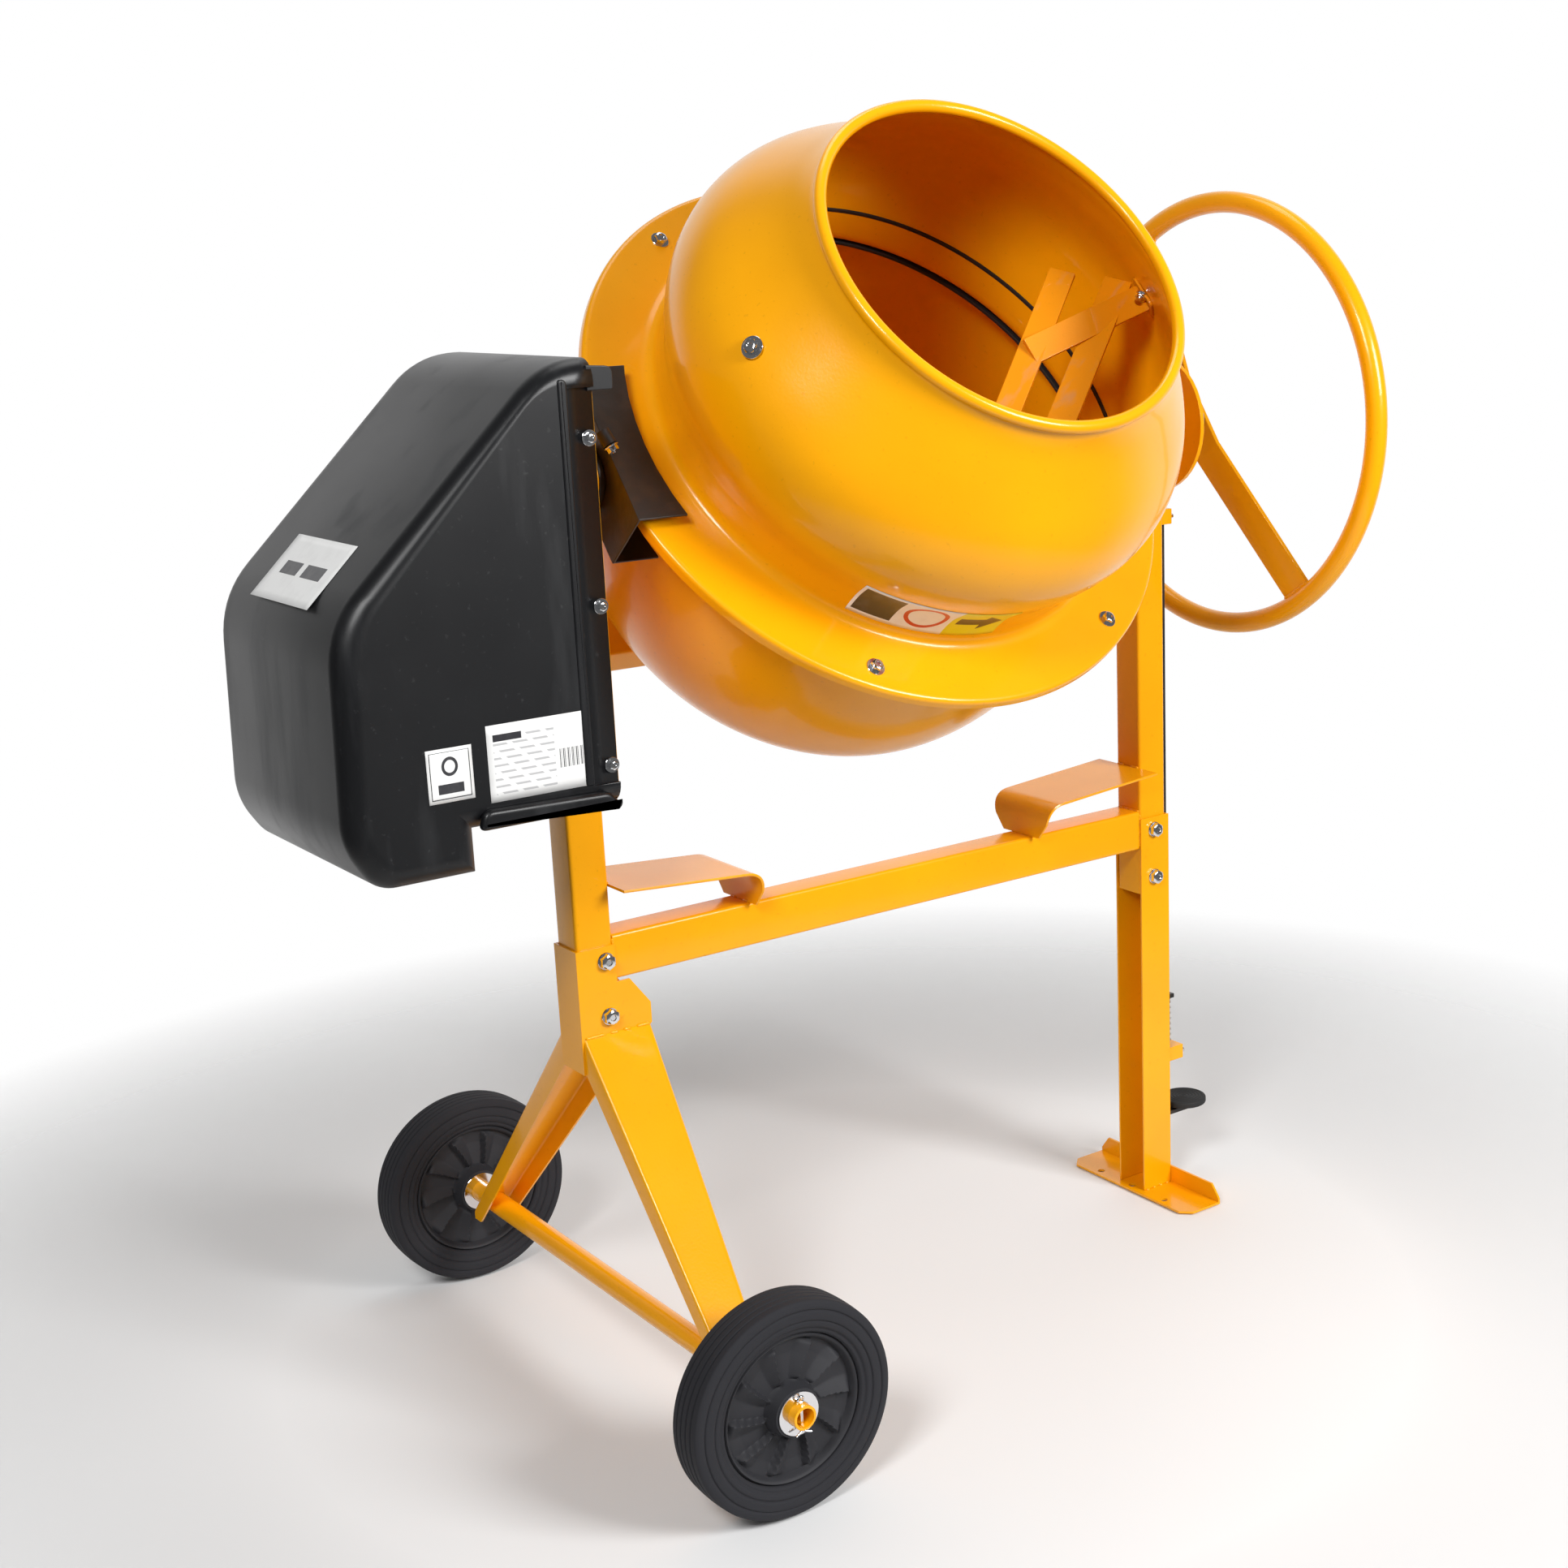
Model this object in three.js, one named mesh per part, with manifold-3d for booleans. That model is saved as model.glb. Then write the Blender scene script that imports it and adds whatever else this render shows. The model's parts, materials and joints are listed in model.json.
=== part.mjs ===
// Electric tilting-drum concrete mixer on a two-wheeled stand. Millimetres, +Z up, ground at z = 0.
// The drum's mouth looks towards -Y, the motor housing is at -X and the tilting handwheel at +X.
import * as THREE from 'three';
import { mergeVertices } from 'three/addons/utils/BufferGeometryUtils.js';
import Module from 'manifold-3d';

const wasm = await Module();
wasm.setup();

// ---------- driving dimensions ----------
const GAP = 0.3; // clearance between pieces that touch
const POST_SPAN = 834.4; // left post centre to right post centre
const POST = 45; // square tube side of both posts
const WALL = 2.5; // wall of every square tube
const SHEET = 2.8; // folded steel of sleeve, legs and brackets
const TILT_Z = 1045.3; // height of the tilting axis
const DRUM_ELEVATION = THREE.MathUtils.degToRad(39.2); // drum axis above the horizontal at rest
const DRUM_X = POST_SPAN / 2;
const POST_TOP = 1015;
const POST_FOOT = 428;

const CROSSBAR_TOP = 542;
const CROSSBAR_HEIGHT = 52;
const SHELF_HALF = 58; // half width of the two rest shelves
const SHELF_REACH = 181; // from the post's inner face
const SHELF_ROOT_Z = 601;
const SHELF_TIP_Z = 587;

const SLEEVE_TOP = 532;
const SLEEVE_FOOT = 388;
const SLEEVE_HALF = POST / 2 + GAP + SHEET;
const LEG_BOLTS_Z = [514.8, 450];
const BOLT_R = 5;
const BOLT_HOLE_R = 5.3;
const LEFT_BOLT_X = 11;
const LEG_TOP = 431; // upper edge of the wheel legs where they leave the sleeve
const LEG_END_Y = 312;
const LEG_SLOPE = 1.117; // fall of a wheel leg's upper edge per millimetre outwards
const LEG_LEFT = -23;
const LEG_ROOT_RIGHT = 62;
const LEG_TIP_RIGHT = 23;
const LEG_TIP_HEIGHT = 30;
const LEG_FOOT = 98;

const AXLE_Z = 120;
const AXLE_R = 13.4;
const AXLE_BORE_R = 10.6;
const AXLE_END = 409;
const TYRE_R = 120;
const TYRE_WIDTH = 50;
const RIM_R = 83;
const WHEEL_Y = 367;
const HUB_HALF = 28;
const HUB_R = 27;

const FOOT_LENGTH = 240;
const FOOT_THICK = 3;
const FOOT_FLANGE = 26; // height of the foot plate's upright edge
const FOOT_REACH = 12; // foot plate beyond the leg, towards the machine's middle
const FOOT_CLIP = 14;
const ANCHOR_Y = [-65, 0, 65];

const COVER_HALF = 160; // motor housing, half depth
const COVER_LEFT = -323;
const COVER_TOP = 1179;
const COVER_FOOT = 682;
const COVER_STEP_X = -188; // the housing's foot steps up from here to the post
const COVER_STEP_Z = 727;
const COVER_WALL = 4;
const PLATE_X = -POST / 2 - GAP - 4; // outer face of the motor plate
const PLATE_THICK = 4;

const PULLEY_X = -50; // middle of the belt
const PULLEY_R = 96;
const MOTOR_PULLEY_R = 16;
const BELT_WIDTH = 14;
const BELT_THICK = 5;
const MOTOR_Z = 832;
const MOTOR_R = 60;
const MOTOR_FACE = -78;
const MOTOR_LENGTH = 170;
const MOTOR_FOOT_HALF = 48;
const MOTOR_SHAFT_R = 7;
const BRACKET_HALF = 54;
const BRACKET_THICK = 5;
const BRACKET_RIB = 27; // depth of the two ribs under the motor bracket
const SHAFT_R = 10; // pinion shaft

const BLOCK_R = 32; // round top of the bearing blocks
const TRUNNION_R = 21;
const TRUNNION_BORE = 14;
const TILT_SHAFT_R = 18;
const ARM_THICK = 12;
const ARM_HALF = 35;
const YOKE_DROP = 395; // tilting axis to the underside of the yoke beam
const BEAM_HEIGHT = 45;
const BEAM_HALF = 30;

const FLANGE_R = 364.5;
const FLANGE_S = 36.9; // top of the drum's flange above the tilting axis, along the drum's axis
const FLANGE_LIP = 13;
const DRUM_SHEET = 2.5;
const MOUTH_R = 214;
const MOUTH_S = 336;
const MOUTH_BEAD = 7;
const LOWER_R = 318;
const LOWER_DEPTH = 332;
const HUB_HOLE_R = 45;
const HUB_FOOT_S = -343;
const HUB_TOP_S = -288;
const HUB_FLANGE_R = 66;
const BEARING_R = 30.2;
const DRUM_SHAFT_R = 17.5;
const DRUM_SHAFT_TOP_S = -300;
const DRUM_SIDES = 40;

const BLADE_THICK = 6;
const ARM_ROLL = THREE.MathUtils.degToRad(-10);
const PADDLE_ROLL = THREE.MathUtils.degToRad(27);

const CROWN_TEETH = 96;
const PINION_TEETH = 6;
const CROWN_PITCH_R = 345;
const CROWN_HALF_FACE = 11;
const PINION_PITCH_R = (CROWN_PITCH_R * PINION_TEETH) / CROWN_TEETH;
const TOOTH_RISE = 3.7;
const TOOTH_DROP = 4.9;

const WHEEL_X = 981; // plane of the handwheel's ring
const WHEEL_R = 272.6;
const WHEEL_TUBE_R = 13.5;
const SPOKE_X = 929.3; // flat middle of the spoke bar
const SPOKE_THICK = 6;
const SPOKE_WIDTH = 45;
const SPOKE_ANGLE = THREE.MathUtils.degToRad(33.7); // from straight down, towards the front
const DISC_X = 863;
const DISC_THICK = 6;
const DISC_R = 87;
const NOTCH_DEPTH = 12;
const NOTCH_ANGLES = [0, 25.4, 50.8];

const BAR_HALF = 12; // half width of the lock bar
const BAR_TOP = TILT_Z - DISC_R - 0.8;
const PEDAL_Z = 108;
const PEDAL_X = 905;
const PEDAL_R = 31;
const UPPER_GUIDE_Z = 926;
const LOWER_GUIDE_Z = 187;
const GUIDE_HALF_HEIGHT = 10;
const LUG_Z = 262; // the lock bar's lug that the return spring pushes up
const SPRING_X = DISC_X + DISC_THICK + 9;

const BUTTON_R = 11;
const SWITCH = { x: -165, z: 850, width: 76, height: 110, depth: 42 };

// ---------- materials ----------
const material = (color, roughness, metalness) => new THREE.MeshStandardMaterial({ color, roughness, metalness });
const PAINT = material(0xffa800, 0.3, 0.1);
const BLACK_PLASTIC = material(0x17181a, 0.45, 0);
const BLACK_STEEL = material(0x1a1815, 0.5, 0.3);
const RUBBER = material(0x121212, 0.8, 0);
const RIM_PLASTIC = material(0x151618, 0.4, 0);
const ZINC = material(0xb9bcc0, 0.35, 0.9);
const STEEL = material(0x8d8f92, 0.4, 0.9);
const CAST_IRON = material(0x55565a, 0.6, 0.8);
const MOTOR_GREY = material(0x6d7276, 0.5, 0.6);
const RED = material(0xc4161c, 0.4, 0);
const GREEN = material(0x1d8a3a, 0.4, 0);

// ---------- shape helpers ----------
/** A manifold solid from a closed geometry: shared corners merged, flat triangles dropped. */
function solid(geometry) {
  const bare = geometry.clone();
  bare.deleteAttribute('normal');
  bare.deleteAttribute('uv');
  const merged = mergeVertices(bare, 1e-3);
  const corners = [];
  const index = merged.index.array;
  for (let i = 0; i < index.length; i += 3) {
    const [a, b, c] = [index[i], index[i + 1], index[i + 2]];
    if (a !== b && b !== c && c !== a) corners.push(a, b, c);
  }
  const vertProperties = new Float32Array(merged.attributes.position.array);
  return new wasm.Manifold(new wasm.Mesh({ numProp: 3, vertProperties, triVerts: new Uint32Array(corners) }));
}

function geometryOf(manifold) {
  const mesh = manifold.getMesh();
  const geometry = new THREE.BufferGeometry();
  geometry.setAttribute('position', new THREE.BufferAttribute(new Float32Array(mesh.vertProperties), 3));
  geometry.setIndex(new THREE.BufferAttribute(new Uint32Array(mesh.triVerts), 1));
  geometry.computeVertexNormals();
  return geometry;
}

const cut = (base, ...tools) => geometryOf(tools.reduce((body, tool) => body.subtract(solid(tool)), solid(base)));
const join = (...pieces) => geometryOf(pieces.slice(1).reduce((body, piece) => body.add(solid(piece)), solid(pieces[0])));

/** A box between two opposite corners. */
function box(low, high) {
  const size = high.map((value, i) => value - low[i]);
  const middle = high.map((value, i) => (value + low[i]) / 2);
  return new THREE.BoxGeometry(...size).translate(...middle);
}

function rodX(radius, x0, x1, y, z, sides = 16) {
  return new THREE.CylinderGeometry(radius, radius, x1 - x0, sides).rotateZ(-Math.PI / 2).translate((x0 + x1) / 2, y, z);
}

function rodY(radius, y0, y1, x, z, sides = 16) {
  return new THREE.CylinderGeometry(radius, radius, y1 - y0, sides).translate(x, (y0 + y1) / 2, z);
}

function rodZ(radius, z0, z1, x, y, sides = 16) {
  return new THREE.CylinderGeometry(radius, radius, z1 - z0, sides).rotateX(Math.PI / 2).translate(x, y, (z0 + z1) / 2);
}

const outline = (points) => new THREE.Shape(points.map(([u, v]) => new THREE.Vector2(u, v)));

/** A shape drawn in (x, z), extruded from y0 to y1. */
function slabY(shape, y0, y1, options = {}) {
  const depth = y1 - y0;
  return new THREE.ExtrudeGeometry(shape, { depth, bevelEnabled: false, curveSegments: 5, ...options })
    .rotateX(Math.PI / 2)
    .translate(0, y1, 0);
}

/** A shape drawn in (y, z), extruded from x0 to x1. */
function slabX(shape, x0, x1, curveSegments = 7) {
  return new THREE.ExtrudeGeometry(shape, { depth: x1 - x0, bevelEnabled: false, curveSegments })
    .applyMatrix4(new THREE.Matrix4().set(0, 0, 1, x0, 1, 0, 0, 0, 0, 1, 0, 0, 0, 0, 0, 1));
}

/** Turns a closed [radius, height] profile about the Z axis, faces outward. */
function turned(profile, segments = 32) {
  const points = [...profile, profile[0]].map(([r, z]) => new THREE.Vector2(r, z));
  let area = 0;
  for (let i = 1; i < points.length; i++) area += points[i - 1].cross(points[i]);
  if (area < 0) points.reverse();
  return new THREE.LatheGeometry(points, segments).rotateX(Math.PI / 2);
}

/** A ring of rectangular section about the Z axis. */
const ring = (inner, outer, z0, z1, segments = 32) =>
  turned([[inner, z0], [outer, z0], [outer, z1], [inner, z1]], segments);

/** Closed profile of a sheet whose outer face follows points, with its thickness on the left hand. */
function skin(points, thickness) {
  const inner = points.map(([r, z], i) => {
    const [before, after] = [points[Math.max(i - 1, 0)], points[Math.min(i + 1, points.length - 1)]];
    const incoming = new THREE.Vector2(r - before[0], z - before[1]).normalize();
    const outgoing = new THREE.Vector2(after[0] - r, after[1] - z).normalize();
    const along = incoming.clone().add(outgoing).normalize();
    const ahead = i === 0 ? outgoing : incoming;
    const stretch = thickness / along.dot(ahead);
    return [r - along.y * stretch, z + along.x * stretch];
  });
  return [...points, ...inner.reverse()];
}

/** A solid with flat sides between two four-cornered ends, each listed the same way round. */
function loft(start, end) {
  const geometry = new THREE.BufferGeometry();
  geometry.setAttribute('position', new THREE.Float32BufferAttribute([...start, ...end].flat(), 3));
  const faces = [[0, 2, 1], [0, 3, 2], [4, 5, 6], [4, 6, 7]];
  for (let i = 0; i < 4; i++) {
    const next = (i + 1) % 4;
    faces.push([i, next, next + 4], [i, next + 4, i + 4]);
  }
  geometry.setIndex(faces.flat());
  const volume = faces.reduce((sum, [a, b, c]) => {
    const [p, q, r] = [a, b, c].map((k) => new THREE.Vector3().fromBufferAttribute(geometry.attributes.position, k));
    return sum + p.dot(q.cross(r));
  }, 0);
  if (volume < 0) geometry.setIndex(faces.map(([a, b, c]) => [a, c, b]).flat());
  return geometry;
}

/** Square or oblong tube along one axis (0 = x, 2 = z), open at both ends. */
function squareTube(low, high, axis) {
  const inset = [0, 1, 2].map((i) => (i === axis ? -1 : WALL));
  return cut(box(low, high), box(low.map((v, i) => v + inset[i]), high.map((v, i) => v - inset[i])));
}

function add(group, name, geometry, finish) {
  const mesh = new THREE.Mesh(geometry, finish);
  mesh.name = name;
  group.add(mesh);
}

// ---------- stand ----------
const legBoltHoles = (x) => LEG_BOLTS_Z.map((z) => rodY(BOLT_HOLE_R, -60, 60, x, z, 12));

function post(x, boltX) {
  const tube = squareTube([x - POST / 2, -POST / 2, POST_FOOT], [x + POST / 2, POST / 2, POST_TOP], 2);
  return cut(tube, ...legBoltHoles(boltX));
}

/** Folded rest shelf: nearly level plate from the post, its tip turned down onto the crossbar. */
function shelf(rootX, direction) {
  const tip = rootX + direction * SHELF_REACH;
  const lipFoot = CROSSBAR_TOP + GAP;
  const section = outline([
    [rootX, SHELF_ROOT_Z],
    [tip, SHELF_TIP_Z],
    [tip + direction * 3, SHELF_TIP_Z - 3],
    [tip + direction * 3, lipFoot],
    [tip, lipFoot],
    [tip, SHELF_TIP_Z - 4],
    [rootX, SHELF_ROOT_Z - 3],
  ]);
  return slabY(section, -SHELF_HALF, SHELF_HALF);
}

/** Folded channel round three sides of the post, its front and rear sides flared below the crossbar. */
function legSleeve() {
  const back = -SLEEVE_HALF;
  const edge = POST / 2 + 1;
  const flare = 64;
  const side = outline([
    [back, SLEEVE_FOOT],
    [edge, SLEEVE_FOOT],
    [flare, LEG_TOP],
    [flare, LEG_TOP + 24],
    [edge + 16, CROSSBAR_TOP - CROSSBAR_HEIGHT - 2],
    [edge, CROSSBAR_TOP - CROSSBAR_HEIGHT - 2],
    [edge, SLEEVE_TOP],
    [back, SLEEVE_TOP],
  ]);
  const hollow = box([-POST / 2 - GAP, -POST / 2 - GAP, SLEEVE_FOOT - 5], [flare + 5, POST / 2 + GAP, SLEEVE_TOP + 5]);
  return cut(slabY(side, -SLEEVE_HALF, SLEEVE_HALF), hollow, ...legBoltHoles(LEFT_BOLT_X));
}

/** Tapered channel leg from the sleeve to the axle, open towards the ground; side is -1 front, +1 rear. */
function wheelLeg(side) {
  const section = (y, left, right, low, high) => [[left, y, low], [right, y, low], [right, y, high], [left, y, high]];
  const startY = side * (SLEEVE_HALF + GAP);
  const endY = side * LEG_END_Y;
  const endTop = LEG_TOP - (LEG_END_Y - SLEEVE_HALF) * LEG_SLOPE;
  const outer = loft(
    section(startY, LEG_LEFT, LEG_ROOT_RIGHT, SLEEVE_FOOT, LEG_TOP),
    section(endY, LEG_LEFT, LEG_TIP_RIGHT, endTop - LEG_TIP_HEIGHT, endTop),
  );
  const below = 60; // the hollow runs out of the leg's open underside
  const left = LEG_LEFT + SHEET;
  const inner = loft(
    section(startY - side * 2, left, LEG_ROOT_RIGHT - SHEET, SLEEVE_FOOT - below, LEG_TOP - SHEET * 1.5),
    section(endY + side * 2, left, LEG_TIP_RIGHT - SHEET, endTop - LEG_TIP_HEIGHT - below, endTop - SHEET * 2),
  );
  const axle = rodY(AXLE_R + GAP, side > 0 ? 200 : -400, side > 0 ? 400 : -200, 0, AXLE_Z);
  const underAxle = box([-40, Math.min(0, side * 400), 0], [40, Math.max(0, side * 400), LEG_FOOT]);
  return cut(outer, inner, axle, underAxle);
}

function rightLeg() {
  const outer = SLEEVE_HALF;
  const x = POST_SPAN;
  const low = FOOT_THICK + GAP;
  const channel = box([x - POST / 2 - 1, -outer, low], [x + outer, outer, SLEEVE_TOP]);
  const hollow = box([x - POST, -outer + SHEET, low - 5], [x + outer - SHEET, outer - SHEET, SLEEVE_TOP + 5]);
  return cut(channel, hollow, ...legBoltHoles(POST_SPAN));
}

/** Folded foot plate along Y with one upright edge, clipped corners and three anchor holes. */
function footPlate() {
  const right = POST_SPAN + SLEEVE_HALF + GAP + FOOT_THICK;
  const left = POST_SPAN - POST / 2 - FOOT_REACH;
  const half = FOOT_LENGTH / 2;
  const clip = FOOT_CLIP;
  const flat = box([left, -half, 0], [right, half, FOOT_THICK]);
  const upright = slabX(
    outline([[-half, 0], [half, 0], [half, 8], [half - clip, FOOT_FLANGE], [clip - half, FOOT_FLANGE], [-half, 8]]),
    right - FOOT_THICK,
    right,
  );
  const clipped = [-1, 1].map((side) =>
    new THREE.CylinderGeometry(clip, clip, FOOT_THICK * 4, 4).rotateX(Math.PI / 2).translate(left, side * half, 0));
  const holes = ANCHOR_Y.map((y) => rodZ(BOLT_R, -5, 10, left + 11, y, 16));
  return cut(join(flat, upright), ...clipped, ...holes);
}

function legBolt(x, z) {
  const face = SLEEVE_HALF + GAP;
  const head = new THREE.CylinderGeometry(9.8, 9.8, 7, 6).translate(x, -face - 3.5, z);
  const nut = new THREE.CylinderGeometry(9.8, 9.8, 9, 6).translate(x, face + 4.5, z);
  return join(rodY(BOLT_R, -face - 3, face + 14, x, z, 12), head, nut);
}

/** Bearing block welded on a post: square foot, round top, bored for the trunnion. */
function bearingBlock(x, bore) {
  const half = POST / 2;
  const side = new THREE.Shape();
  side.moveTo(-half, POST_TOP + GAP);
  side.lineTo(half, POST_TOP + GAP);
  side.lineTo(BLOCK_R, TILT_Z);
  side.absarc(0, TILT_Z, BLOCK_R, 0, Math.PI, false);
  side.closePath();
  return cut(slabX(side, x - 22, x + 25), rodX(bore + GAP, x - 60, x + 60, 0, TILT_Z, 20));
}

function buildStand(root) {
  const barY = POST / 2 - GAP;
  const inner = POST / 2 + GAP;
  add(root, 'left_post', post(0, LEFT_BOLT_X), PAINT);
  add(root, 'right_post', post(POST_SPAN, POST_SPAN), PAINT);
  const barLow = [inner, -barY, CROSSBAR_TOP - CROSSBAR_HEIGHT];
  add(root, 'crossbar', squareTube(barLow, [POST_SPAN - inner, barY, CROSSBAR_TOP], 0), PAINT);
  add(root, 'left_shelf', shelf(inner, 1), PAINT);
  add(root, 'right_shelf', shelf(POST_SPAN - inner, -1), PAINT);
  add(root, 'leg_sleeve', legSleeve(), PAINT);
  add(root, 'front_wheel_leg', wheelLeg(-1), PAINT);
  add(root, 'rear_wheel_leg', wheelLeg(1), PAINT);
  const axle = rodY(AXLE_R, -AXLE_END, AXLE_END, 0, AXLE_Z);
  add(root, 'axle_tube', cut(axle, rodY(AXLE_BORE_R, -500, 500, 0, AXLE_Z)), PAINT);
  add(root, 'right_leg', rightLeg(), PAINT);
  add(root, 'foot_plate', footPlate(), PAINT);
  for (const [side, x] of [['left', LEFT_BOLT_X], ['right', POST_SPAN]]) {
    add(root, `${side}_leg_bolt_upper`, legBolt(x, LEG_BOLTS_Z[0]), ZINC);
    add(root, `${side}_leg_bolt_lower`, legBolt(x, LEG_BOLTS_Z[1]), ZINC);
  }
  add(root, 'left_bearing_block', bearingBlock(0, TRUNNION_R), PAINT);
  add(root, 'right_bearing_block', bearingBlock(POST_SPAN, TILT_SHAFT_R), PAINT);
}

// ---------- wheels ----------
function buildWheel(root, name, side) {
  const wheel = new THREE.Group();
  wheel.position.set(0, side * WHEEL_Y, AXLE_Z);
  wheel.rotation.x = Math.PI / 2; // local z along the axle
  const half = TYRE_WIDTH / 2;
  const tyre = [
    [RIM_R + GAP, -half + 6], [RIM_R + 8, -half + 2], [TYRE_R - 12, -half], [TYRE_R - 3, -half + 5], [TYRE_R, -half + 12],
    [TYRE_R, half - 12], [TYRE_R - 3, half - 5], [TYRE_R - 12, half], [RIM_R + 8, half - 2], [RIM_R + GAP, half - 6],
  ];
  const bore = AXLE_R + GAP;
  const rim = [
    [bore, -HUB_HALF], [HUB_R, -HUB_HALF], [HUB_R + 2, -9], [RIM_R - 8, -7], [RIM_R - 6, -half + 4], [RIM_R, -half + 5],
    [RIM_R, half - 5], [RIM_R - 6, half - 4], [RIM_R - 8, 7], [HUB_R + 2, 9], [HUB_R, HUB_HALF], [bore, HUB_HALF],
  ];
  add(wheel, `${name}_tyre`, turned(tyre, 28), RUBBER);
  add(wheel, `${name}_rim`, turned(rim, 28), RIM_PLASTIC);
  root.add(wheel);
}

// ---------- motor drive ----------
/** The housing's front outline; inset moves every wall inwards, and the open side reaches openX. */
function coverOutline(inset, openX) {
  const corners = [
    [openX, COVER_TOP - inset, 0],
    [-73 - inset * 0.4, COVER_TOP - inset, 45],
    [COVER_LEFT + 8 + inset, 943 - inset * 0.4, 45],
    [COVER_LEFT + inset, 728 + inset * 0.4, 25],
    [-290 + inset * 0.4, COVER_FOOT + inset, 18],
    [COVER_STEP_X - inset, COVER_FOOT + inset, 0],
    [COVER_STEP_X - inset, COVER_STEP_Z + inset, 0],
    [openX, COVER_STEP_Z + inset, 0],
  ];
  const points = corners.map(([x, z]) => new THREE.Vector2(x, z));
  const shape = new THREE.Shape();
  corners.forEach(([, , radius], i) => {
    const corner = points[i];
    const from = points[(i + corners.length - 1) % corners.length];
    const to = points[(i + 1) % corners.length];
    const enter = corner.clone().add(from.clone().sub(corner).setLength(Math.max(radius, 0.001)));
    const leave = corner.clone().add(to.clone().sub(corner).setLength(Math.max(radius, 0.001)));
    if (radius === 0) {
      shape[i ? 'lineTo' : 'moveTo'](corner.x, corner.y);
    } else {
      shape.lineTo(enter.x, enter.y);
      shape.quadraticCurveTo(corner.x, corner.y, leave.x, leave.y);
    }
  });
  return shape;
}

function motorCover() {
  const openX = PLATE_X - GAP;
  const bevel = { bevelEnabled: true, bevelThickness: 14, bevelSize: 12, bevelOffset: -12, bevelSegments: 2 };
  const shell = slabY(coverOutline(0, openX + 12), -COVER_HALF + 14, COVER_HALF - 14, bevel);
  const hollow = slabY(coverOutline(COVER_WALL, openX + 40), -COVER_HALF + COVER_WALL + 10, COVER_HALF - COVER_WALL - 10, {
    ...bevel, bevelThickness: 10,
  });
  const openSide = box([openX, -COVER_HALF - 5, COVER_FOOT - 5], [openX + 60, COVER_HALF + 5, COVER_TOP + 5]);
  return cut(shell, hollow, openSide);
}

function motorPlate() {
  const half = COVER_HALF - 12;
  const plate = box([PLATE_X, -half, COVER_STEP_Z + 10], [PLATE_X + PLATE_THICK, half, COVER_TOP - 12]);
  return cut(plate, rodX(SHAFT_R + 4, -80, 80, 0, TILT_Z, 20));
}

/** Flat belt with two straight runs between the large pulley above and the motor pulley below. */
function driveBelt() {
  const gap = TILT_Z - MOTOR_Z;
  const lean = Math.asin((PULLEY_R - MOTOR_PULLEY_R) / gap);
  const loop = (shape, grow) => {
    shape.absarc(0, TILT_Z, PULLEY_R + grow, -lean, Math.PI + lean, false);
    shape.absarc(0, MOTOR_Z, MOTOR_PULLEY_R + grow, Math.PI + lean, 2 * Math.PI - lean, false);
    shape.closePath();
    return shape;
  };
  const outer = loop(new THREE.Shape(), 1 + BELT_THICK);
  const inner = loop(new THREE.Shape(), 1);
  const [x0, x1] = [PULLEY_X - BELT_WIDTH / 2, PULLEY_X + BELT_WIDTH / 2];
  return cut(slabX(outer, x0, x1, 18), slabX(inner, x0 - 5, x1 + 5, 18));
}

function motorBody() {
  const rear = MOTOR_FACE - MOTOR_LENGTH;
  const inset = 20; // foot shorter than the barrel at each end
  const footLow = [rear + inset, -MOTOR_FOOT_HALF, MOTOR_Z - MOTOR_R - 8];
  const foot = box(footLow, [MOTOR_FACE - inset, MOTOR_FOOT_HALF, MOTOR_Z - MOTOR_R / 2]);
  const nose = rodX(MOTOR_R / 2, MOTOR_FACE - 5, MOTOR_FACE + 8, 0, MOTOR_Z);
  const barrel = join(rodX(MOTOR_R, rear, MOTOR_FACE, 0, MOTOR_Z, 20), nose, foot);
  return cut(barrel, rodX(MOTOR_SHAFT_R + GAP, MOTOR_FACE - 30, MOTOR_FACE + 20, 0, MOTOR_Z, 16));
}

function motorBracket() {
  const top = MOTOR_Z - MOTOR_R - 8 - GAP;
  const root = PLATE_X - GAP;
  const tray = box([MOTOR_FACE - MOTOR_LENGTH + 10, -BRACKET_HALF, top - BRACKET_THICK], [root, BRACKET_HALF, top]);
  const triangle = [[-190, top - 3], [root, top - 3], [root, top - BRACKET_THICK - BRACKET_RIB]];
  const rib = (y) => slabY(outline(triangle), y, y + 4);
  return join(tray, rib(-BRACKET_HALF), rib(BRACKET_HALF - 4));
}

function buildDrive(root) {
  add(root, 'motor_plate', motorPlate(), PAINT);
  add(root, 'motor_cover', motorCover(), BLACK_PLASTIC);
  add(root, 'motor_bracket', motorBracket(), BLACK_STEEL);
  add(root, 'motor_body', motorBody(), MOTOR_GREY);
  add(root, 'drive_belt', driveBelt(), RUBBER);
  const shaft = rodX(MOTOR_SHAFT_R, MOTOR_FACE - 25, PULLEY_X + 14, 0, MOTOR_Z, 16);
  const wheel = rodX(MOTOR_PULLEY_R, PULLEY_X - 11, PULLEY_X + 11, 0, MOTOR_Z);
  add(root, 'motor_pulley', join(shaft, wheel), STEEL);
}

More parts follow.
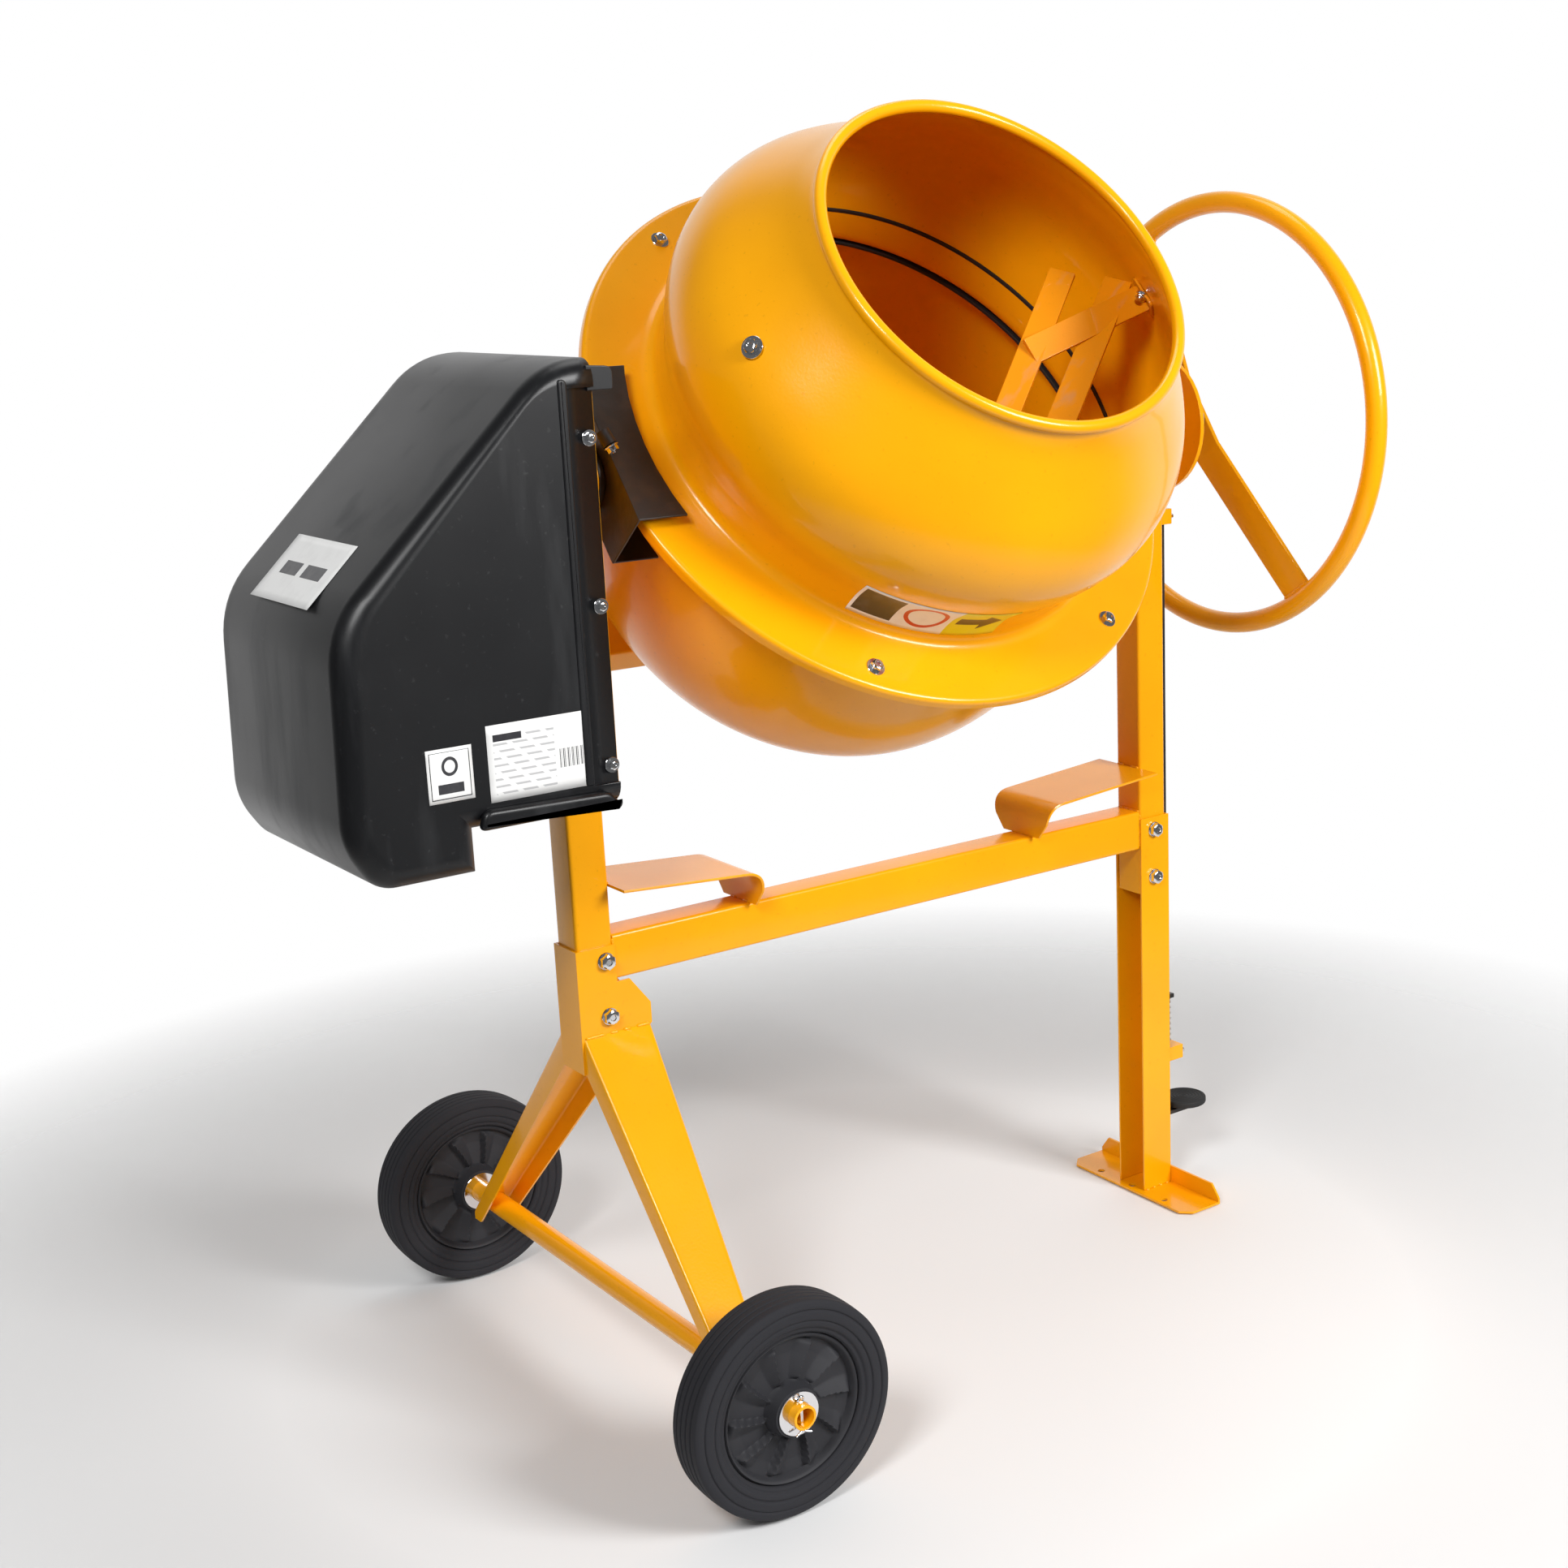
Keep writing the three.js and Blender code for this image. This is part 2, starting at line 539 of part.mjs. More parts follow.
function buildSwitch(root) {
  const { x, z, width, height, depth } = SWITCH;
  const back = COVER_HALF + GAP;
  const buttonZ = { start: z + 24, stop: z - 14 };
  const wells = Object.values(buttonZ).map((at) => rodY(BUTTON_R + GAP, back + depth - 14, back + depth + 5, x, at, 20));
  const body = box([x - width / 2, back, z - height / 2], [x + width / 2, back + depth, z + height / 2]);
  add(root, 'switch_box', cut(body, ...wells), BLACK_PLASTIC);
  for (const [name, finish] of [['start', GREEN], ['stop', RED]]) {
    const proud = name === 'stop' ? 9 : 5;
    add(root, `${name}_button`, rodY(BUTTON_R, back + depth - 8, back + depth + proud, x, buttonZ[name], 20), finish);
  }
  const low = z - height / 2 - GAP;
  const inlet = join(rodZ(19, low - 6, low, x, back + 22, 16), rodZ(16, low - 34, low - 3, x, back + 22, 16));
  add(root, 'power_inlet', cut(inlet, rodZ(12.5, low - 40, low - 10, x, back + 22, 16)), BLACK_PLASTIC);
}

// ---------- tilting lock ----------
/** Guide block that holds the lock bar against the post; faceX is the face that it is fixed to. */
function lockGuide(faceX, z, reach) {
  const [low, high] = [z - GUIDE_HALF_HEIGHT, z + GUIDE_HALF_HEIGHT];
  const block = box([faceX + GAP, -BAR_HALF - 8, low], [faceX + reach, BAR_HALF + 8, high]);
  const slot = box([DISC_X - 0.5, -BAR_HALF - 0.5, z - 20], [DISC_X + DISC_THICK + 0.5, BAR_HALF + 0.5, z + 20]);
  return cut(block, slot);
}

function lockSpring(low, high) {
  const turns = 7;
  const helix = new THREE.Curve();
  helix.getPoint = (t, target = new THREE.Vector3()) => {
    const angle = t * turns * 2 * Math.PI;
    return target.set(SPRING_X + 5 * Math.cos(angle), 5 * Math.sin(angle), low + 1.2 + (high - low - 2.4) * t);
  };
  const wire = new THREE.Shape();
  wire.absarc(0, 0, 0.9, 0, 2 * Math.PI, false);
  return new THREE.ExtrudeGeometry(wire, { steps: turns * 7, curveSegments: 2, extrudePath: helix, bevelEnabled: false });
}

function buildLock(root) {
  add(root, 'upper_lock_guide', lockGuide(POST_SPAN + POST / 2, UPPER_GUIDE_Z, 18), PAINT);
  add(root, 'lower_lock_guide', lockGuide(POST_SPAN + SLEEVE_HALF, LOWER_GUIDE_Z, 30), PAINT);
  add(root, 'lock_spring', lockSpring(LOWER_GUIDE_Z + GUIDE_HALF_HEIGHT + GAP, LUG_Z - GAP), STEEL);
  const outer = DISC_X + DISC_THICK;
  const bar = box([DISC_X, -BAR_HALF, PEDAL_Z - 14], [outer, BAR_HALF, BAR_TOP]);
  const lug = box([outer - 1, -7, LUG_Z], [outer + 17, 7, LUG_Z + 6]);
  const arm = box([outer - 1, -BAR_HALF, PEDAL_Z - 14], [PEDAL_X + 22, BAR_HALF, PEDAL_Z - 8]);
  const stem = box([PEDAL_X - 10, -8, PEDAL_Z - 9], [PEDAL_X + 10, 8, PEDAL_Z - 4 - GAP]);
  add(root, 'lock_bar', join(bar, lug, arm, stem), BLACK_STEEL);
  add(root, 'pedal_pad', rodZ(PEDAL_R, PEDAL_Z - 4, PEDAL_Z + 5, PEDAL_X, -4, 32), RUBBER);
}

// ---------- yoke: local x across, y along the tilt tangent, z along the drum's axis ----------
function yokeArm(x0, bore) {
  const side = new THREE.Shape();
  side.moveTo(-ARM_HALF, -YOKE_DROP);
  side.lineTo(ARM_HALF, -YOKE_DROP);
  side.lineTo(ARM_HALF, 0);
  side.absarc(0, 0, ARM_HALF, 0, Math.PI, false);
  side.closePath();
  return cut(slabX(side, x0, x0 + ARM_THICK), rodX(bore + GAP, x0 - 10, x0 + ARM_THICK + 10, 0, 0, 20));
}

/** Black channel over the flange's rim and the pinion, its leaves cut back round the drum. */
function pinionGuard(x0) {
  const thick = 3;
  const [near, far, top, bottom] = [-92, 105, 53, -29.5];
  const leafEnd = 120;
  const channel = cut(
    box([x0, near, bottom], [leafEnd, far, top]),
    box([x0 + thick, near - 5, bottom + thick], [leafEnd + 5, far + 5, top - thick]),
    rodX(TRUNNION_BORE, x0 - 10, x0 + 10, 0, 0, 20),
  );
  return cut(channel, rodZ(323, 40, 60, DRUM_X, 0, 64), rodZ(326, -40, -20, DRUM_X, 0, 64));
}

/** Drum shaft with its foot plate on the yoke beam. */
function drumShaft() {
  const beamTop = BEAM_HEIGHT - YOKE_DROP;
  const pin = rodZ(DRUM_SHAFT_R, beamTop + GAP, DRUM_SHAFT_TOP_S, DRUM_X, 0);
  return join(pin, rodZ(40, beamTop + GAP, beamTop + 6, DRUM_X, 0));
}

/** Round disc with notches on its rear lower edge, turned so that the first is straight down at rest. */
function lockDisc(downAngle) {
  const disc = rodX(DISC_R, DISC_X, DISC_X + DISC_THICK, 0, 0, 40);
  const notches = NOTCH_ANGLES.map((degrees) =>
    box([DISC_X - 5, -BAR_HALF - 1, -DISC_R - 5], [DISC_X + 15, BAR_HALF + 1, NOTCH_DEPTH - DISC_R])
      .rotateX(downAngle + THREE.MathUtils.degToRad(degrees)));
  return cut(disc, rodX(TILT_SHAFT_R + GAP, 800, 900, 0, 0, 20), ...notches);
}

/** Flat bar across the handwheel, its ends bent out to the ring. */
function handwheelSpoke() {
  const [flat, reach] = [55, WHEEL_R];
  const outer = [[SPOKE_X, -flat], [WHEEL_X - 3, -reach], [WHEEL_X + 3, -reach], [SPOKE_X + SPOKE_THICK, 2 - flat]];
  const mirrored = outer.map(([x, z]) => [x, -z]).reverse();
  const bar = slabY(outline([...outer, ...mirrored]), -SPOKE_WIDTH / 2, SPOKE_WIDTH / 2);
  return cut(bar, handwheelRing(WHEEL_TUBE_R + GAP));
}

function handwheelRing(tubeRadius) {
  return new THREE.TorusGeometry(WHEEL_R, tubeRadius, 8, 44).rotateY(Math.PI / 2).translate(WHEEL_X, 0, 0);
}

function buildYoke(yoke, tiltRest) {
  const leftArm = 27;
  const rightArm = POST_SPAN - 27 - ARM_THICK;
  const beamEnds = [leftArm + ARM_THICK + GAP, rightArm - GAP];
  add(yoke, 'yoke_left_arm', yokeArm(leftArm, TRUNNION_R), PAINT);
  add(yoke, 'yoke_right_arm', yokeArm(rightArm, TILT_SHAFT_R), PAINT);
  const beamLow = [beamEnds[0], -BEAM_HALF, -YOKE_DROP];
  add(yoke, 'yoke_beam', squareTube(beamLow, [beamEnds[1], BEAM_HALF, BEAM_HEIGHT - YOKE_DROP], 0), PAINT);
  add(yoke, 'drum_shaft', drumShaft(), STEEL);
  const hubX = leftArm + ARM_THICK + GAP;
  const guardX = 48;
  const sleeve = [rodX(TRUNNION_R, -21, guardX - GAP, 0, 0), rodX(TRUNNION_BORE, -40, 60, 0, 0)];
  add(yoke, 'trunnion_sleeve', cut(...sleeve), STEEL);
  const boss = [rodX(34, hubX, guardX - GAP, 0, 0, 20), rodX(TRUNNION_R + GAP, 0, 60, 0, 0)];
  add(yoke, 'trunnion_boss', cut(...boss), BLACK_STEEL);
  add(yoke, 'shaft_bush', cut(rodX(TRUNNION_BORE - GAP, -20, guardX - 2, 0, 0), rodX(SHAFT_R + GAP, -40, 60, 0, 0)), CAST_IRON);
  add(yoke, 'pinion_guard', pinionGuard(guardX), BLACK_STEEL);
  const collar = rodX(25, DISC_X + DISC_THICK + GAP, SPOKE_X - GAP, 0, 0);
  add(yoke, 'tilt_shaft', join(rodX(TILT_SHAFT_R, rightArm, SPOKE_X - GAP, 0, 0), collar), STEEL);
  add(yoke, 'lock_disc', lockDisc(-tiltRest), PAINT);
  const handwheel = new THREE.Group();
  handwheel.rotation.x = -tiltRest - SPOKE_ANGLE;
  add(handwheel, 'handwheel_spoke', handwheelSpoke(), PAINT);
  add(handwheel, 'handwheel_ring', handwheelRing(WHEEL_TUBE_R), PAINT);
  yoke.add(handwheel);
}

// ---------- pinion and belt pulley, in the yoke's axes ----------
function pinion() {
  const pitch = (2 * Math.PI) / PINION_TEETH;
  const [tip, root] = [PINION_PITCH_R + TOOTH_RISE, PINION_PITCH_R - TOOTH_DROP];
  const points = [];
  for (let tooth = 0; tooth < PINION_TEETH; tooth++) {
    const middle = Math.PI / 2 + tooth * pitch;
    for (const [radius, share] of [[root, -0.27], [tip, -0.12], [tip, 0.12], [root, 0.27]]) {
      points.push([radius * Math.cos(middle + share * pitch), radius * Math.sin(middle + share * pitch)]);
    }
  }
  const x = DRUM_X - CROWN_PITCH_R;
  return cut(slabX(outline(points), x - 14, x + 14), rodX(SHAFT_R + GAP, 0, 200, 0, 0));
}

function beltPulley() {
  const half = BELT_WIDTH / 2 + 4;
  const wheel = rodX(PULLEY_R, PULLEY_X - half, PULLEY_X + half, 0, 0, 20);
  const recess = ring(26, PULLEY_R - 12, 0, 9, 24).rotateY(-Math.PI / 2).translate(PULLEY_X - half + 8, 0, 0);
  return cut(wheel, recess, rodX(SHAFT_R + GAP, -100, 0, 0, 0));
}

function buildPinion(yoke) {
  add(yoke, 'pinion_shaft', rodX(SHAFT_R, PULLEY_X - 16, DRUM_X - CROWN_PITCH_R + 18, 0, 0, 24), STEEL);
  add(yoke, 'pinion', pinion(), CAST_IRON);
  add(yoke, 'belt_pulley', beltPulley(), CAST_IRON);
}

// ---------- drum: local z along its own axis, z = 0 at the tilting axis ----------
function upperDrum() {
  const bulge = new THREE.SplineCurve(
    [[284, 56], [287, 82], [304, 125], [309, 160], [304, 196], [286, 231], [250, 278], [226, 308]]
      .map(([r, z]) => new THREE.Vector2(r, z)),
  );
  const wall = bulge.getPoints(8).map((p) => [p.x, p.y]);
  const flange = [[FLANGE_R, FLANGE_S - FLANGE_LIP], [FLANGE_R, FLANGE_S], [302, FLANGE_S], [290, FLANGE_S + 5]];
  const mouth = [[MOUTH_R + 3, MOUTH_S - 8], [MOUTH_R + MOUTH_BEAD, MOUTH_S], [MOUTH_R + 4, MOUTH_S + 5]];
  return turned(skin([...flange, ...wall, ...mouth], DRUM_SHEET), DRUM_SIDES);
}

/** Deep dish: r/R and depth/D follow one superellipse from the joint down to the hub's hole. */
function lowerDrum() {
  const underside = FLANGE_S - 2 * DRUM_SHEET - 2.1;
  const points = [[352, underside], [LOWER_R + 3, underside], [LOWER_R, underside - 6]];
  const steps = 7;
  for (let i = 0; i <= steps; i++) {
    const angle = THREE.MathUtils.degToRad(25 + (i * 63.5) / steps);
    const r = LOWER_R * Math.cos(angle) ** (2 / 3.4);
    const z = 10 - LOWER_DEPTH * Math.sin(angle) ** (2 / 3.3);
    points.push([Math.max(r, HUB_HOLE_R), z]);
  }
  return turned(skin(points.reverse(), DRUM_SHEET), DRUM_SIDES);
}

/** Ring gear with radial teeth that point down, the middle of a gap at local -x. */
function ringGear() {
  const [inner, outer] = [CROWN_PITCH_R - CROWN_HALF_FACE, CROWN_PITCH_R + CROWN_HALF_FACE];
  const [tip, root] = [PINION_PITCH_R - TOOTH_RISE, PINION_PITCH_R + TOOTH_DROP];
  const top = FLANGE_S - 2 * DRUM_SHEET - 2.4;
  const gear = ring(inner, outer, tip, top, CROWN_TEETH * 4);
  const place = gear.attributes.position;
  const shares = [0.23, 0.38, 0.62, 0.77];
  const rows = 5; // profile points of the ring, its first one repeated
  for (let i = 0; i < place.count; i++) {
    const column = Math.floor(i / rows);
    const corner = column % 4;
    const turn = ((Math.floor(column / 4) + shares[corner]) * 2 * Math.PI) / CROWN_TEETH;
    const radius = Math.hypot(place.getX(i), place.getY(i));
    const isTooth = corner === 1 || corner === 2;
    const z = place.getZ(i) < root ? (isTooth ? tip : root) : top;
    place.setXYZ(i, -radius * Math.cos(turn), -radius * Math.sin(turn), z);
  }
  return geometryOf(solid(gear));
}

/** Cup that carries the drum's bottom on the shaft's bearing, closed inside the drum. */
function drumHub() {
  const outer = HUB_HOLE_R - DRUM_SHEET - GAP;
  const dish = 10 - LOWER_DEPTH;
  const flange = rodZ(HUB_FLANGE_R, dish - 8 - GAP, dish - GAP, 0, 0, 20);
  const cup = join(rodZ(outer, HUB_FOOT_S, HUB_TOP_S, 0, 0, 20), flange);
  return cut(cup, rodZ(BEARING_R + 0.8, HUB_FOOT_S - 5, HUB_TOP_S - 8, 0, 0, 20));
}

/** Bar of flat steel between two points, its width turned towards the drum's axis by a tilt. */
function flatBar(from, to, width, thick, roll) {
  const [a, b] = [new THREE.Vector3(...from), new THREE.Vector3(...to)];
  const along = b.clone().sub(a).normalize();
  const sideways = new THREE.Vector3().crossVectors(along, new THREE.Vector3(0, 0, 1)).normalize();
  const across = sideways.applyAxisAngle(along, roll);
  const normal = new THREE.Vector3().crossVectors(along, across);
  const bar = new THREE.BoxGeometry(a.distanceTo(b), width, thick);
  return bar.applyMatrix4(new THREE.Matrix4().makeBasis(along, across, normal)).translate(...a.add(b).multiplyScalar(0.5).toArray());
}

/** Mixing blade: a flat arm from the wall lug inwards and two paddles welded under it. */
function blade() {
  return join(
    flatBar([268, 15, 240], [119, -10.5, 186], 32, BLADE_THICK, ARM_ROLL),
    flatBar([193, 74, 219.5], [46.5, -99.8, 142], 31, BLADE_THICK, PADDLE_ROLL),
    flatBar([257, 49, 230.5], [85, -139, 170.5], 33, BLADE_THICK, PADDLE_ROLL),
    flatBar([264, 30, 234], [264, -2, 234], BLADE_THICK, 24, 0),
  );
}

function buildDrum(drum) {
  add(drum, 'upper_drum', upperDrum(), PAINT);
  add(drum, 'lower_drum', lowerDrum(), PAINT);
  add(drum, 'drum_seal', ring(316, 352, FLANGE_S - DRUM_SHEET - 1.8, FLANGE_S - DRUM_SHEET - GAP, DRUM_SIDES), RUBBER);
  add(drum, 'ring_gear', ringGear(), CAST_IRON);
  add(drum, 'drum_hub', drumHub(), CAST_IRON);
  add(drum, 'drum_bearing', ring(DRUM_SHAFT_R + GAP, BEARING_R, HUB_FOOT_S + 2, HUB_TOP_S - 10, 28), STEEL);
  [0, Math.PI].forEach((turn, i) => {
    const pair = new THREE.Group();
    pair.rotation.z = turn;
    add(pair, `mixing_blade_${i + 1}`, blade(), PAINT);
    drum.add(pair);
  });
}

// ---------- assembly ----------
const mixer = new THREE.Group();
buildStand(mixer);
buildWheel(mixer, 'front_wheel', -1);
buildWheel(mixer, 'rear_wheel', 1);
buildDrive(mixer);
buildSwitch(mixer);
buildLock(mixer);

const tiltRest = Math.PI / 2 - DRUM_ELEVATION;
const yoke = new THREE.Group();
yoke.position.z = TILT_Z;
yoke.rotation.x = tiltRest;
buildYoke(yoke, tiltRest);
buildPinion(yoke);
const drum = new THREE.Group();
drum.position.x = DRUM_X;
buildDrum(drum);
yoke.add(drum);
mixer.add(yoke);

// The origin is under the middle of the whole machine's box; y and z need no shift.
const extent = new THREE.Box3().setFromObject(mixer, true);
mixer.position.x = -(extent.min.x + extent.max.x) / 2;

const part = new THREE.Group();
part.add(mixer);
export default part;
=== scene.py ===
"""Tilting-drum concrete mixer: detailed pieces, finishes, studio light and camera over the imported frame.

Sizes inside the classes are millimetres. A Place turns them into metres in the machine's frame: +Z up,
ground at z = 0, the drum's mouth towards -Y, the motor housing at -X and the handwheel at +X.
"""
from __future__ import annotations

import json
import logging
import math
from dataclasses import dataclass, field
from enum import Enum
from typing import Any, Sequence

import bmesh
import bpy
import numpy as np
from mathutils import Matrix, Vector

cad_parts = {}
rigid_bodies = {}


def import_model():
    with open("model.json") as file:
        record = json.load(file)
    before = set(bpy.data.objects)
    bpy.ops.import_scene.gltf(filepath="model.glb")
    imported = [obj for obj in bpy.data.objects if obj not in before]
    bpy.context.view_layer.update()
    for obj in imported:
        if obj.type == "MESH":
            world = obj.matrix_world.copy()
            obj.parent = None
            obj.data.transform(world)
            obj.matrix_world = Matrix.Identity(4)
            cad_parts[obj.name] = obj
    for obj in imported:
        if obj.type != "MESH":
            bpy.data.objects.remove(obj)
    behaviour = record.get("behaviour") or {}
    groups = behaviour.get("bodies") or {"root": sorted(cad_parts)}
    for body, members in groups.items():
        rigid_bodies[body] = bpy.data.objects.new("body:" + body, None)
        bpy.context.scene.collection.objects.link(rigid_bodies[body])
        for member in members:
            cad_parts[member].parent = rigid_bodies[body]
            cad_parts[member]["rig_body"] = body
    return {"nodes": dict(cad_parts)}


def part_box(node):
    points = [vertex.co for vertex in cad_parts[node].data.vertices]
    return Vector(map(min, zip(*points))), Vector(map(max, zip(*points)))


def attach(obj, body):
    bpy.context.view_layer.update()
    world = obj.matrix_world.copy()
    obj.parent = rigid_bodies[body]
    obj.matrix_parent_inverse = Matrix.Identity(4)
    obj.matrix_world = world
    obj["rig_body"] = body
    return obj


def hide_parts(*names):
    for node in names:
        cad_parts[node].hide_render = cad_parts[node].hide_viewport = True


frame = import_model()
log = logging.getLogger("mixer")

MM = 0.001
STICKER_THICK = 0.25  # millimetres
SHARP = math.radians(32)  # edges that fold by more than this keep a crisp shade line
Points = np.ndarray
Colour = tuple[float, float, float]


# ---------------------------------------------------------------- shader maths
class Value:
    """One output socket in a finish's nodes; arithmetic on it adds Math nodes."""

    def __init__(self, graph: "Graph", socket: bpy.types.NodeSocket) -> None:
        """Wraps socket, which belongs to graph."""
        self.graph = graph
        self.socket = socket

    def _math(self, operation: str, first: Any, second: Any, clamp: bool = False) -> "Value":
        """Returns a Math node's result for two values or numbers."""
        settings = {"operation": operation, "use_clamp": clamp}
        return self.graph.node("ShaderNodeMath", settings, {0: first, 1: second})

    def __add__(self, other: Any) -> "Value":
        """Returns self + other."""
        return self._math("ADD", self, other)

    __radd__ = __add__

    def __mul__(self, other: Any) -> "Value":
        """Returns self * other."""
        return self._math("MULTIPLY", self, other)

    __rmul__ = __mul__

    def __sub__(self, other: Any) -> "Value":
        """Returns self - other."""
        return self._math("SUBTRACT", self, other)

    def __rsub__(self, other: Any) -> "Value":
        """Returns other - self."""
        return self._math("SUBTRACT", other, self)

    def __abs__(self) -> "Value":
        """Returns the size of self without its sign."""
        return self._math("ABSOLUTE", self, 0.0)

    def below(self, limit: Any) -> "Value":
        """Returns 1 where self is less than limit, else 0."""
        return self._math("LESS_THAN", self, limit)

    def above(self, limit: Any) -> "Value":
        """Returns 1 where self is greater than limit, else 0."""
        return self._math("GREATER_THAN", self, limit)

    def at_most(self, limit: float) -> "Value":
        """Returns self, held at limit where it is larger."""
        return self._math("MINIMUM", self, limit)

    def repeated(self, step: float) -> "Value":
        """Returns self modulo step."""
        return self._math("FLOORED_MODULO", self, step)

    def power(self, exponent: float) -> "Value":
        """Returns self raised to exponent."""
        return self._math("POWER", self, exponent)

    def ramp(self, low: float, high: float) -> "Value":
        """Returns 0 below low, 1 above high and a straight line between them."""
        return self._math("MULTIPLY", self - low, 1.0 / (high - low), clamp=True)


class Graph:
    """The node tree of one finish."""

    def __init__(self, name: str) -> None:
        """Makes an empty material called name."""
        self.material = bpy.data.materials.new(name)
        self.material.use_nodes = True
        self.tree = self.material.node_tree
        self.tree.nodes.clear()

    def node(self, kind: str, settings: dict[str, Any], inputs: dict[Any, Any], output: Any = 0) -> Value:
        """Adds one node.

        Args:
            kind: The node's type.
            settings: Its properties.
            inputs: Values, numbers or colours by socket name or index.
            output: Which output to return.

        Returns:
            The chosen output as a Value.
        """
        made = self.tree.nodes.new(kind)
        for key, setting in settings.items():
            setattr(made, key, setting)
        for key, given in inputs.items():
            if isinstance(given, Value):
                self.tree.links.new(given.socket, made.inputs[key])
            else:
                made.inputs[key].default_value = given
        return Value(self, made.outputs[output])

    def place(self, stretch: Sequence[float] = (1.0, 1.0, 1.0)) -> Value:
        """Returns the point's Object coordinates in metres, stretched along each axis."""
        point = self.node("ShaderNodeTexCoord", {}, {}, "Object")
        return self.node("ShaderNodeMapping", {}, {"Vector": point, "Scale": tuple(stretch)})

    def noise(self, per_metre: float, detail: float = 2.0, stretch: Sequence[float] = (1, 1, 1)) -> Value:
        """Returns cloudy noise from 0 to 1 with per_metre lumps in a metre."""
        inputs = {"Vector": self.place(stretch), "Scale": per_metre, "Detail": detail}
        return self.node("ShaderNodeTexNoise", {}, inputs)

    def mix(self, share: Any, first: Any, second: Any) -> Value:
        """Returns the colour first, replaced by second as share goes from 0 to 1."""
        inputs = {0: share, 6: self._rgba(first), 7: self._rgba(second)}
        return self.node("ShaderNodeMix", {"data_type": "RGBA"}, inputs, 2)

    @staticmethod
    def _rgba(colour: Any) -> Any:
        """Returns a colour with its alpha, or the Value unchanged."""
        return colour if isinstance(colour, Value) else (*colour, 1.0)

    def bump(self, height: Value, rise: float) -> Value:
        """Returns a normal for height, whose full range stands rise metres proud."""
        inputs = {"Strength": 1.0, "Distance": rise, "Height": height}
        return self.node("ShaderNodeBump", {}, inputs)

    def surface(self, **sockets: Any) -> bpy.types.Material:
        """Finishes the material with one Principled shader.

        Args:
            **sockets: Values or constants; the name is the socket's with _ for a space.

        Returns:
            The material.
        """
        inputs = {}
        for key, given in sockets.items():
            if key == "Base_Color":
                given = self._rgba(given)
            inputs[key.replace("_", " ")] = given
        shader = self.node("ShaderNodeBsdfPrincipled", {}, inputs)
        out = self.tree.nodes.new("ShaderNodeOutputMaterial")
        self.tree.links.new(shader.socket, out.inputs["Surface"])
        return self.material


# ---------------------------------------------------------------- finishes
@dataclass(frozen=True)
class Finish:
    """One finish: its name, its material slot in the record and its base colour."""

    name: str
    slot: str
    colour: Colour

    def material(self) -> bpy.types.Material:
        """Returns the finish's material, made on first use."""
        return bpy.data.materials.get(self.name) or self.make(Graph(self.name))

    def make(self, graph: Graph) -> bpy.types.Material:
        """Returns graph's material, wired for this finish."""
        raise NotImplementedError


@dataclass(frozen=True)
class PowderCoat(Finish):
    """Thick glossy powder coat with orange peel, faint cloudiness and, where used, scuffs."""

    gloss: float = 0.2
    scuffs: float = 0.0

    def make(self, graph: Graph) -> bpy.types.Material:
        """Wires this finish.

        Args:
            graph: The finish's empty graph.

        Returns:
            The graph's material.
        """
        cloud = graph.noise(6.0, 3.0)
        deep = tuple(c * k for c, k in zip(self.colour, (0.86, 0.8, 0.7)))
        colour = graph.mix(cloud.ramp(0.35, 0.75) * 0.55, self.colour, deep)
        specks = graph.noise(210.0, 1.0).ramp(0.7, 0.76) * 0.22
        colour = graph.mix(specks, colour, tuple(c * 0.55 for c in self.colour))
        rub = graph.noise(26.0, 5.0, (1.0, 3.0, 0.6)).ramp(0.56, 0.72) * self.scuffs
        colour = graph.mix(rub * 0.45, colour, tuple(0.5 * c + 0.12 for c in self.colour))
        rough = self.gloss + graph.noise(17.0, 4.0) * 0.1 + rub * 0.25
        peel = graph.noise(330.0, 2.0) + rub * 0.3
        return graph.surface(
            Base_Color=colour, Roughness=rough, Normal=graph.bump(peel, 0.00011),
            Coat_Weight=0.3, Coat_Roughness=0.06, Specular_IOR_Level=0.25,
        )


@dataclass(frozen=True)
class BlackPaint(Finish):
    """Brushed-on black enamel over steel, with brownish thin patches."""

    def make(self, graph: Graph) -> bpy.types.Material:
        """Wires this finish.

        Args:
            graph: The finish's empty graph.

        Returns:
            The graph's material.
        """
        thin = graph.noise(30.0, 5.0).ramp(0.5, 0.78)
        colour = graph.mix(thin * 0.7, self.colour, (0.045, 0.024, 0.012))
        rough = 0.3 + graph.noise(70.0, 3.0) * 0.25
        return graph.surface(
            Base_Color=colour, Roughness=rough, Normal=graph.bump(graph.noise(240.0, 3.0), 0.0002),
        )


@dataclass(frozen=True)
class MouldedPlastic(Finish):
    """Black moulding with a fine grain, flow streaks and light handling marks."""

    rough: float = 0.36
    grain: float = 1500.0
    marks: float = 1.0
    specular: float = 0.36

    def make(self, graph: Graph) -> bpy.types.Material:
        """Wires this finish.

        Args:
            graph: The finish's empty graph.

        Returns:
            The graph's material.
        """
        streak = graph.noise(22.0, 6.0, (1.0, 1.0, 0.16)).ramp(0.56, 0.8) * self.marks
        dust = graph.noise(160.0, 4.0).ramp(0.66, 0.8) * self.marks
        colour = graph.mix(streak * 0.3, self.colour, (0.05, 0.052, 0.056))
        colour = graph.mix(dust * 0.25, colour, (0.09, 0.092, 0.095))
        rough = self.rough + streak * 0.12 + graph.noise(9.0, 2.0) * 0.1
        grain = graph.noise(self.grain, 2.0) + streak * 0.2
        return graph.surface(
            Base_Color=colour, Roughness=rough, Normal=graph.bump(grain, 0.00006),
            Specular_IOR_Level=self.specular,
        )


